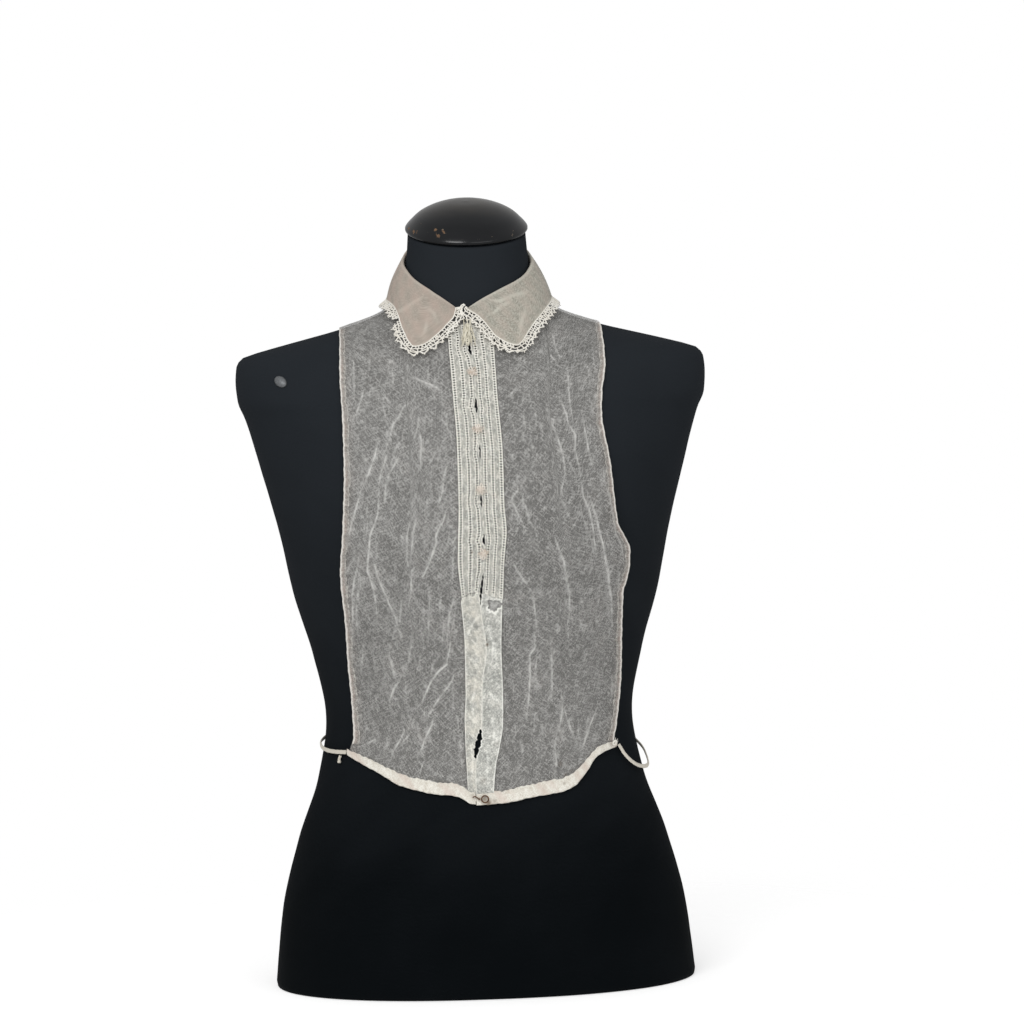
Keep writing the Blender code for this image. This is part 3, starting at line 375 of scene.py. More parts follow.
def keep_value(mesh, name, value):
    """Keeps a value at each of the mesh's points, for its material to read."""
    attribute = mesh.attributes.new(name, "FLOAT", "POINT")
    attribute.data.foreach_set("value", np.ascontiguousarray(value, np.float32).ravel())


def mesh_from(name, points, faces, values=None, flat=None):
    """A mesh with named values at its points and, where flat is given, its cut's own coordinates as UV."""
    mesh = bpy.data.meshes.new(name)
    mesh.from_pydata(points.tolist(), [], [tuple(face) for face in faces])
    mesh.update()
    for key, value in (values or {}).items():
        keep_value(mesh, key, value)
    if flat is not None:
        corner = np.empty(len(mesh.loops), np.int32)
        mesh.loops.foreach_get("vertex_index", corner)
        layer = mesh.uv_layers.new(name="cut")
        layer.data.foreach_set("uv", np.ascontiguousarray(flat[corner], np.float32).ravel())
    return mesh


def grid_normals(points):
    """The outward normals of a grid whose columns run to the right and rows run up, seen from outside."""
    return unit(np.cross(np.gradient(points, axis=1), np.gradient(points, axis=0)))


def run_length(points, axis):
    """How far each point of a grid lies along its own row (axis 1) or column (axis 0)."""
    steps = np.diff(points, axis=axis, prepend=points.take([0], axis))
    return np.cumsum(np.linalg.norm(steps, axis=-1), axis=axis)


def ring_index(rows, columns, start=0):
    """The numbers of a closed grid's points, and the number of each one's neighbour in its ring."""
    index = start + np.arange(rows * columns).reshape(rows, columns)
    return index, np.roll(index, -1, axis=1)


def shell(name, points, wall, material, values, keep=None):
    """A closed thin wall: its outer face on the grid of points, its inner face one wall behind."""
    rows, columns = points.shape[:2]
    total = rows * columns
    inner = points - grid_normals(points) * np.broadcast_to(wall, (rows, columns))[..., None]
    index = np.arange(total).reshape(rows, columns)
    quads = np.stack([index[:-1, :-1], index[:-1, 1:], index[1:, 1:], index[1:, :-1]], -1)
    keep = np.ones((rows - 1, columns - 1), bool) if keep is None else keep
    faces = [quads[keep], quads[keep][:, ::-1] + total]
    padded = np.pad(keep, 1)
    neighbours = (padded[:-2, 1:-1], padded[1:-1, 2:], padded[2:, 1:-1], padded[1:-1, :-2])
    for edge, neighbour in enumerate(neighbours):
        bare = quads[keep & ~neighbour]
        a, b = bare[:, edge], bare[:, (edge + 1) % 4]
        faces.append(np.stack([b, a, a + total, b + total], -1))
    faces = np.concatenate(faces)
    used = np.unique(faces)
    lookup = np.zeros(2 * total, int)
    lookup[used] = np.arange(len(used))
    both = np.concatenate([points.reshape(-1, 3), inner.reshape(-1, 3)])[used]
    values = {key: np.tile(np.broadcast_to(value, (rows, columns)).ravel(), 2)[used]
              for key, value in values.items()}
    flat = np.stack([run_length(points, 1), run_length(points, 0)], -1).reshape(-1, 2)
    mesh = mesh_from(name, both, lookup[faces], values, np.tile(flat, (2, 1))[used])
    return finished(name, mesh, material)


def tubes(name, paths, outs, radii, sides, material, flatness=1.0, shades=None):
    """Closed tubes along the paths, in one mesh; outs are the ways the flattened side faces."""
    turns = np.arange(sides) * 2.0 * math.pi / sides
    cosines, sines = np.cos(turns)[None, :, None], flatness * np.sin(turns)[None, :, None]
    points, faces, counts = [], [], []
    start = 0
    for path, out, radius in zip(paths, outs, radii):
        path = np.asarray(path, float)
        count = len(path)
        along = unit(np.gradient(path, axis=0))
        side = unit(np.cross(along, np.broadcast_to(out, path.shape)))
        out = np.cross(side, along)
        radius = np.broadcast_to(radius, (count,))[:, None, None]
        ring = path[:, None, :] + radius * (cosines * side[:, None, :] + sines * out[:, None, :])
        points.append(ring.reshape(-1, 3))
        index, after = ring_index(count, sides, start)
        quads = np.stack([index[:-1], index[1:], after[1:], after[:-1]], -1).reshape(-1, 4)
        faces += quads.tolist() + [index[0].tolist(), index[-1][::-1].tolist()]
        counts.append(count)
        start += count * sides
    values = {}
    if shades is not None:
        # The 'under' value marks each tube's side turned to the cloth, where its material paints shade.
        under = unit_clip(0.45 - 0.9 * np.sin(turns))
        values = {"shade": np.repeat(shades, np.multiply(counts, sides)),
                  "under": np.tile(under, sum(counts))}
    return finished(name, mesh_from(name, np.concatenate(points), faces, values), material)


def through(points, per_stretch):
    """A smooth line through the points."""
    points = np.asarray(points, float)
    ends = np.concatenate([[2.0 * points[0] - points[1]], points, [2.0 * points[-1] - points[-2]]])
    line = []
    for a, b, c, d in zip(ends, ends[1:], ends[2:], ends[3:]):
        for i in range(per_stretch):
            t = i / per_stretch
            line.append(0.5 * (2.0 * b + (c - a) * t + (2.0 * a - 5.0 * b + 4.0 * c - d) * t**2
                               + (3.0 * b - a - 3.0 * c + d) * t**3))
    return np.array([*line, points[-1]])


def turned(name, profile, steps, material, placing):
    """A turned solid: the profile of radius and height runs from the top of the axis down and back to it."""
    turns = np.arange(steps) * 2.0 * math.pi / steps
    rings = profile[1:-1]
    radius, height = (np.broadcast_to(rings[:, i][:, None], (len(rings), steps)) for i in (0, 1))
    points = np.stack([radius * np.cos(turns), radius * np.sin(turns), height], -1).reshape(-1, 3)
    top, bottom = len(points), len(points) + 1
    points = np.concatenate([points, [[0.0, 0.0, profile[0][1]], [0.0, 0.0, profile[-1][1]]]])
    index, after = ring_index(len(rings), steps)
    faces = np.stack([index[:-1], index[1:], after[1:], after[:-1]], -1).reshape(-1, 4).tolist()
    faces += [[top, a, b] for a, b in zip(index[0], after[0])]
    faces += [[bottom, b, a] for a, b in zip(index[-1], after[-1])]
    points = np.concatenate([points, np.ones((len(points), 1))], 1) @ np.array(placing).T
    return finished(name, mesh_from(name, points[:, :3], faces), material)


def outward_frame(azimuth, height, distance=0.0, turn=0.0):
    """A placing this far above the form, whose Z points outward and whose Y points up, turned about Z."""
    z_axis = Vector(form_normal(azimuth, height)).normalized()
    x_axis = Vector((0.0, 0.0, 1.0)).cross(z_axis).normalized()
    placing = Matrix((x_axis, z_axis.cross(x_axis), z_axis)).transposed().to_4x4()
    placing.translation = Vector(above_form(azimuth, height, distance))
    return placing @ Matrix.Rotation(turn, 4, "Z")


class Threads:
    """Lines of thread, drawn in millimetres of a placing's own space and laid there as one piece of tubes."""

    def __init__(self):
        self.lines, self.radii, self.shades = [], [], []

    def add(self, line, radius, shade):
        self.lines.append(np.asarray(line))
        self.radii.append(radius * MM)
        self.shades.append(shade)

    def lay(self, name, placing, sides, material, slot):
        placing = np.array(placing)
        lines = [line * MM @ placing[:3, :3].T + placing[:3, 3] for line in self.lines]
        return tubes(name, lines, [placing[:3, 2]] * len(lines), self.radii, sides, material,
                     shades=self.shades)


# ---- materials -----------------------------------------------------------------------------------
class Look:
    """A procedural material in the making: each call adds nodes and gives the socket that carries
    the result."""

    def __init__(self, name, roughness=0.85, specular=0.25, sheen=0.0, metallic=0.0):
        self.material = bpy.data.materials.new(name)
        self.material.use_nodes = True
        self.tree = self.material.node_tree
        self.shader = self.tree.nodes["Principled BSDF"]
        plain = {"Roughness": roughness, "Specular IOR Level": specular, "Sheen Weight": sheen,
                 "Metallic": metallic}
        for socket, value in plain.items():
            self.shader.inputs[socket].default_value = value
        MATERIALS[name] = self.material

    def feed(self, socket, value):
        if isinstance(value, bpy.types.NodeSocket):
            self.tree.links.new(value, socket)
        else:
            socket.default_value = value

    def make(self, kind, inputs=None, **settings):
        node = self.tree.nodes.new("ShaderNode" + kind)
        for key, value in settings.items():
            setattr(node, key, value)
        for key, value in (inputs or {}).items():
            self.feed(node.inputs[key], value)
        return node

    def sum(self, *terms):
        """The first term plus each pair of socket and weight."""
        total = terms[0]
        for value, weight in terms[1:]:
            total = self.make("Math", {0: value, 1: weight, 2: total}, operation="MULTIPLY_ADD").outputs[0]
        return total

    def math(self, operation, a, b=0.0):
        return self.make("Math", {0: a, 1: b}, operation=operation).outputs[0]

    def cut(self, turn=0.0, stretch=(1.0, 1.0)):
        """The cut's own coordinates in metres, turned and then stretched."""
        flat = self.make("UVMap", uv_map="cut").outputs[0]
        turned_flat = self.make("Mapping", {"Vector": flat, "Rotation": (0.0, 0.0, turn)}).outputs[0]
        return self.make("Mapping", {"Vector": turned_flat, "Scale": (*stretch, 1.0)}).outputs[0]

    def place(self, stretch=(1.0, 1.0, 1.0)):
        """Coordinates of the object, stretched."""
        where = self.make("TexCoord").outputs["Object"]
        return self.make("Mapping", {"Vector": where, "Scale": stretch}).outputs[0]

    def noise(self, vector, scale, detail=2.0, roughness=0.5):
        inputs = {"Vector": vector, "Scale": scale, "Detail": detail, "Roughness": roughness}
        return self.make("TexNoise", inputs).outputs["Fac"]

    def value(self, name):
        """A value kept at the mesh's points."""
        return self.make("Attribute", attribute_name=name).outputs["Fac"]

    def between(self, value, low, high, to_low=0.0, to_high=1.0):
        inputs = {"Value": value, "From Min": low, "From Max": high, "To Min": to_low, "To Max": to_high}
        return self.make("MapRange", inputs).outputs[0]

    def mix(self, share, a, b):
        node = self.make("Mix", data_type="RGBA")
        self.feed(node.inputs[0], share)
        self.feed(node.inputs[6], a if isinstance(a, bpy.types.NodeSocket) else (*a, 1.0))
        self.feed(node.inputs[7], b if isinstance(b, bpy.types.NodeSocket) else (*b, 1.0))
        return node.outputs[2]

    def weave(self, pitch):
        """Threads both ways at this pitch, 0 in the holes and 1 on the threads."""
        way = self.make("SeparateXYZ", {"Vector": self.cut(stretch=(2.0 * math.pi / pitch,) * 2)}).outputs
        over, under = self.math("SINE", way[0]), self.math("SINE", way[1])
        return self.between(self.math("MAXIMUM", over, under), -1.0, 1.0)

    def bump(self, height, strength, distance):
        inputs = {"Height": height, "Strength": strength, "Distance": distance}
        self.feed(self.shader.inputs["Normal"], self.make("Bump", inputs).outputs[0])

    def colour(self, value):
        self.feed(self.shader.inputs["Base Color"], value)

    def alpha(self, value, low, high):
        held = self.make("Clamp", {"Value": value, "Min": low, "Max": high}).outputs[0]
        self.feed(self.shader.inputs["Alpha"], held)


MATERIALS = {}
THREAD_TWIST = 0.5 * MM
WEAVE_PITCH = 0.9 * MM
RUST = (0.15, 0.09, 0.045)


def cloth_look(name, plain, light, warm, thread, grain, patch, crease_share, alpha=None, bump=0.25):
    """Woven cloth: its plain, light and warm colours, thread size, the length of its slanting lines,
    its patches, and how far a crease lightens it. alpha is the opacity of one face, its gain in a
    crease and its swing."""
    look = Look(name, roughness=0.88, specular=0.15, sheen=0.1)
    threads = look.noise(look.cut(), 1.0 / thread, 1.0, 0.5)
    lines = []
    for turn in (48.0, -42.0, 10.0, -68.0):
        across_lines = look.noise(look.cut(turn * DEGREE, (1.1 / thread, 1.0 / grain)), 1.0, 0.0, 0.5)
        lines.append(look.between(across_lines, 0.45, 0.72))
    mottle = look.noise(look.cut(), patch, 2.0, 0.5)
    # The 'crease' value lightens the cloth at its creases; it also carries a painted highlight along the
    # collar's fold and painted light on the net in the worn hole.
    crease = look.value("crease")
    swing = look.sum(-0.86, (threads, 1.1), (lines[0], 0.34), (lines[1], 0.34), (lines[2], 0.24),
                     (lines[3], 0.24))
    lightness = look.sum(0.30, (crease, crease_share), (swing, 1.0),
                         (look.math("SUBTRACT", mottle, 0.5), 0.5))
    tone = look.mix(look.between(lightness, 0.0, 1.0), plain, light)
    warmth = look.sum(0.0, (look.value("warm"), 1.0), (look.between(mottle, 0.55, 0.8), 0.12))
    tone = look.mix(look.between(warmth, 0.0, 1.0), tone, warm)
    look.colour(look.mix(look.value("rust"), tone, RUST))
    look.bump(look.sum(0.0, (threads, 0.6), (lines[0], 0.3), (lines[1], 0.3)), bump, 0.15 * MM)
    if alpha:
        plain_alpha, crease_gain, swing_gain = alpha
        opacity = look.sum(plain_alpha, (crease, crease_gain), (swing, swing_gain),
                           (look.math("SUBTRACT", mottle, 0.5), 0.4 * swing_gain), (look.value("warm"), 0.08))
        look.alpha(opacity, 0.04, 0.97)


def thread_look(name, shade, light, under):
    """Worked cotton thread: fine twisted strands in two close colours, with painted shade in the under colour
    on the side turned to the cloth."""
    look = Look(name, roughness=0.8, specular=0.2, sheen=0.1)
    fine = look.noise(look.place(), 1.0 / THREAD_TWIST, 2.0, 0.6)
    broad = look.noise(look.place(), 90.0, 2.0, 0.5)
    share = look.sum(0.15, (fine, 0.6), (look.value("shade"), 0.35), (look.math("SUBTRACT", broad, 0.5), 0.9))
    tone = look.mix(look.between(share, 0.0, 1.0), shade, light)
    # Painted shade: the side turned to the cloth takes the under colour.
    look.colour(look.mix(look.between(look.value("under"), 0.25, 1.0), tone, under))
    look.bump(fine, 0.35, 0.12 * MM)


def rusty_wire():
    """Thin wire, rusted in spots."""
    look = Look("rusty_wire", roughness=0.75, specular=0.3, metallic=0.3)
    rusted = look.noise(look.place(), 1500.0, 3.0, 0.6)
    look.colour(look.mix(look.between(rusted, 0.35, 0.65), (0.035, 0.02, 0.012), (0.20, 0.085, 0.03)))
    look.bump(rusted, 0.5, 0.2 * MM)


def form_cloth():
    """The form's black cloth, darker toward the foot: painted shade, as less light reaches the lower form."""
    look = Look("form_cloth", roughness=0.95, specular=0.05)
    threads = look.weave(WEAVE_PITCH)
    nap = look.noise(look.cut(stretch=(1400.0, 700.0)), 1.0, 3.0, 0.6)
    broad = look.noise(look.cut(), 14.0, 3.0, 0.5)
    # Painted shade: the cloth darkens downward from about half a metre up to near the foot.
    level = look.make("SeparateXYZ", {"Vector": look.make("TexCoord").outputs["Object"]}).outputs[2]
    share = look.sum(-0.50, (nap, 0.45), (threads, 0.15), (broad, 0.3),
                     (look.between(level, 0.05, 0.50), 0.98))
    look.colour(look.mix(look.between(share, 0.0, 1.0), (0.0020, 0.0030, 0.0038), (0.0225, 0.0265, 0.0315)))
    look.bump(look.sum(0.0, (threads, 0.5), (nap, 0.7)), 0.35, 0.2 * MM)


def lacquer():
    """Black lacquer over turned wood, chipped where the mesh says it is worn, and lighter and browner at the
    top.
    """
    look = Look("lacquer", roughness=0.22, specular=0.42)
    grain = look.noise(look.place((1.0, 1.0, 3.0)), 60.0, 4.0, 0.6)
    chips = look.noise(look.place(), 240.0, 4.0, 0.65)
    worn = look.between(look.sum(chips, (look.value("worn"), 0.30)), 0.74, 0.80)
    high = look.between(look.make("SeparateXYZ", {"Vector": look.place()}).outputs[2], 0.606, 0.624)
    dark = look.mix(grain, (0.0014, 0.0020, 0.0030), (0.0050, 0.0060, 0.0078))
    dark = look.mix(look.math("MULTIPLY", high, grain), dark, (0.050, 0.040, 0.026))
    wood = look.mix(look.between(chips, 0.62, 0.80), (0.16, 0.09, 0.045), (0.62, 0.50, 0.36))
    look.colour(look.mix(worn, dark, wood))
    look.feed(look.shader.inputs["Roughness"], look.between(worn, 0.0, 1.0, 0.20, 0.7))
    look.bump(look.sum(0.0, (worn, -0.6), (grain, 0.15)), 0.3, 0.3 * MM)


def stud_metal():
    """Dull grey metal."""
    look = Look("stud_metal", roughness=0.5, metallic=0.6)
    dull = look.noise(look.place(), 900.0, 3.0, 0.6)
    look.colour(look.mix(dull, (0.10, 0.105, 0.11), (0.26, 0.27, 0.28)))
    look.bump(dull, 0.3, 0.1 * MM)


def pale_floor():
    """A pale ground that fades out around the form."""
    look = Look("pale_floor", roughness=1.0, specular=0.0)
    look.colour((0.88, 0.88, 0.88, 1.0))
    look.feed(look.shader.inputs["Emission Color"], (1.0, 1.0, 1.0, 1.0))
    look.feed(look.shader.inputs["Emission Strength"], 0.5)
    away = look.make("VectorMath", {0: look.place((1.0, 1.0, 0.0))}, operation="LENGTH").outputs["Value"]
    look.alpha(look.between(away, 0.22, 0.60, 1.0, 0.0), 0.0, 1.0)


def make_materials():
    """Every material of the object and of the stage."""
    cloth_look("net", (0.315, 0.307, 0.290), (0.82, 0.81, 0.78), (0.46, 0.38, 0.33),
               1.1 * MM, 8.0 * MM, 34.0, 1.15, alpha=(0.375, 0.40, 0.10), bump=0.1)
    cloth_look("collar_cloth", (0.348, 0.331, 0.280), (0.645, 0.626, 0.542), (0.55, 0.43, 0.365),
               1.2 * MM, 2.6 * MM, 45.0, 1.75, alpha=(0.74, 0.22, 0.09), bump=0.1)
    cloth_look("placket_cloth", (0.38, 0.385, 0.350), (1.0, 0.99, 0.92), (0.66, 0.60, 0.50),
               1.0 * MM, 5.0 * MM, 70.0, 1.0, alpha=(0.72, 0.35, 0.15), bump=0.2)
    cloth_look("facing_cloth", (0.42, 0.425, 0.395), (1.0, 1.0, 0.94), (0.80, 0.745, 0.62),
               1.0 * MM, 4.0 * MM, 80.0, 1.0, alpha=(0.66, 0.40, 0.15), bump=0.2)
    cloth_look("tape_cloth", (0.66, 0.61, 0.52), (0.94, 0.915, 0.83), (0.66, 0.52, 0.45),
               0.9 * MM, 3.0 * MM, 85.0, 0.75, bump=0.3)
    cloth_look("hem_cloth", (0.34, 0.32, 0.29), (0.92, 0.89, 0.83), (0.56, 0.45, 0.40),
               1.0 * MM, 5.0 * MM, 60.0, 0.9, alpha=(0.42, 0.50, 0.15), bump=0.2)
    # Thread colours: shade, light, and the painted shade of the side turned to the cloth.
    thread_look("lace_thread", (0.76, 0.70, 0.60), (1.0, 0.98, 0.91), (0.12, 0.085, 0.055))
    thread_look("button_thread", (0.50, 0.36, 0.25), (1.0, 0.955, 0.88), (0.26, 0.15, 0.09))
    # The neck thread's olive shade colour is partly its own tone and partly painted shadow among the strands.
    thread_look("neck_thread", (0.34, 0.29, 0.17), (0.98, 0.94, 0.80), (0.13, 0.10, 0.05))
    rusty_wire()
    form_cloth()
    lacquer()
    stud_metal()
    pale_floor()


make_materials()


# ---- creases -------------------------------------------------------------------------------------
CREASE_MARGIN = 10.0            # how far round a crease its marks can reach
CREASE_HALO, HALO_SHARE = 2.6, 0.16


def creases_of(text):
    """Creases parted by semicolons: a strength, then the places of a line as across,height in millimetres."""
    creases = []
    for crease in text.split(";"):
        strength, *places = crease.split()
        creases.append((float(strength), np.array([[float(value) for value in place.split(",")]
                                                   for place in places])))
    return creases


def small_creases(count, left, right, low, high, lean=12.0, strength=(0.10, 0.30), length=(8.0, 30.0)):
    """Fine creases that no picture places: mostly upright, seeded."""
    made = []
    for _ in range(count):
        start = np.array([RANDOM.uniform(left, right), RANDOM.uniform(low, high)])
        turn = RANDOM.normal(0.0, lean) * DEGREE
        reach = RANDOM.uniform(*length)
        way = np.array([math.sin(turn), -math.cos(turn)]) * reach
        bend = np.array([RANDOM.normal(0.0, 0.05) * reach, 0.0])
        made.append((RANDOM.uniform(*strength), np.array([start, start + 0.5 * way + bend, start + way])))
    return made


def crease_field(across, height, creases, core=0.52, reach=1.3):
    """How strongly each place is creased, and how far the creases lift it, both at most about 1."""
    x_all, z_all = across / MM, height / MM
    shade, rise = np.zeros(x_all.shape), np.zeros(x_all.shape)
    for strength, points in creases:
        lengths = np.linalg.norm(np.diff(points, axis=0), axis=1)
        total, start = lengths.sum(), 0.0
        low, high = points.min(0) - CREASE_MARGIN, points.max(0) + CREASE_MARGIN
        near = (x_all > low[0]) & (x_all < high[0]) & (z_all > low[1]) & (z_all < high[1])
        if not near.any():
            continue
        x, z = x_all[near], z_all[near]
        best, place = np.full(x.shape, 1e9), np.zeros(x.shape)
        for a, b, length in zip(points, points[1:], lengths):
            way = (b - a) / length
            t = np.clip((x - a[0]) * way[0] + (z - a[1]) * way[1], 0.0, length)
            away = np.hypot(x - a[0] - way[0] * t, z - a[1] - way[1] * t)
            closer = away < best
            best, place = np.where(closer, away, best), np.where(closer, start + t, place)
            start += length
        fade = strength * unit_clip(np.minimum(place, total - place) / (0.35 * total)) ** 0.7
        broken = 0.72 + 0.28 * np.sin(place / RANDOM.uniform(1.6, 3.4) + RANDOM.uniform(0.0, 6.0))
        line = fade * (broken * bell(best, core) + HALO_SHARE * bell(best, CREASE_HALO))
        shade[near] = np.maximum(shade[near], line)
        rise[near] = np.maximum(rise[near], fade * bell(best, reach))
    return shade, rise


def waves(across, height, parts):
    """A sum of seeded plane waves, each with its length, lean and size; between about -1 and 1."""
    total = np.zeros(np.broadcast(across, height).shape)
    for length, lean, size in rows_of(parts):
        turn = lean * DEGREE
        phase = RANDOM.uniform(0.0, 2.0 * math.pi)
        total = total + size * np.sin(2.0 * math.pi * (across * math.cos(turn) + height * math.sin(turn))
                                      / (length * MM) + phase)
    return total


def spots(across, height, places):
    """Stains: each with its place, radius and strength."""
    total = np.zeros(np.broadcast(across, height).shape)
    for x, z, radius, strength in places:
        away = np.hypot(across - x * MM, height - z * MM) / (radius * MM)
        total = np.maximum(total, strength * np.exp(-(away**2)))
    return total


# ---- what is placed one by one, in millimetres ---------------------------------------------------
COLLAR_CREASES = creases_of("""
    0.9 -61,531 -52,535 -43,541 -36,545; 0.7 -40,512 -36,520 -34,532; 1 12,541 22,539 34,544 46,546;
    0.8 15,528 24,536 32,539; 0.6 36,508 38,522 44,536; 0.55 -26,522 -30,532 -38,538""")
PLACKET_CREASES = {
    -1: creases_of("""
        0.6 -14,452 -9,455 -2,458; 0.5 -15,404 -8,401 -1,404; 0.4 -12,500 -8,488 -9,470;
        0.5 -3,372 -8,366 -15,368; 0.4 -11,360 -9,340 -12,320"""),
    1: creases_of("""
        0.6 2,470 8,466 15,468; 0.5 3,420 9,424 17,422; 0.45 8,500 11,484 8,470; 0.5 3,380 10,376 18,380;
        0.4 12,360 10,345 13,325"""),
}
FACING_CREASES = {
    -1: creases_of("""
        0.7 -2,300 -8,292 -13,280; 0.5 -13,268 -7,262 -1,264; 0.6 -5,250 -9,230 -7,210;
        0.5 -13,222 -8,214 -3,212; 0.5 -12,200 -9,185 -11,168; 0.4 -4,285 -5,268 -3,255"""),
    1: creases_of("""
        0.7 4,292 8,276 6,256; 0.5 13,282 9,270 12,258; 0.6 3,240 8,232 14,230; 0.6 5,222 8,205 4,188;
        0.5 12,212 9,200 8,186; 0.5 1,200 2,180 0,165"""),
}
PLACKET_STAINS = rows_of("-1 460 1.2 0.25, 1.5 372 1.2 0.3, -7.4 347.6 0.9 1")
FACING_STAINS = rows_of("-9 240 3 0.15, 9 196 2 0.15, -2 168 2.5 0.3, 3.4 275.8 1.1 1, 3 279.5 0.7 0.7")
BAND_STAINS = rows_of("""
    -1.2 153.6 3.4 0.55, -5.4 154 1.3 0.9, -10 156 2 0.35, 1.4 150.8 2.6 0.85, 6 152 2 0.5, 60 163 1.2 0.5""")
COLLAR_STAINS = ((-12.0, 528.0, 3.0, 0.2),)
# Where the cap's lacquer is chipped, on its front: across, height, radius, strength.
CAP_WEAR = rows_of("""
    -41 597 2.4 1, -37 603.5 1.2 0.9, -25.5 597 2.2 1, -24 593.5 2.4 1, -20 595.5 1.8 1, -46 600 1.8 0.8,
    30 605.5 1.4 0.9, 27.5 608 1 0.9, 35 607 1.2 0.8, -27 612 1 0.8""")

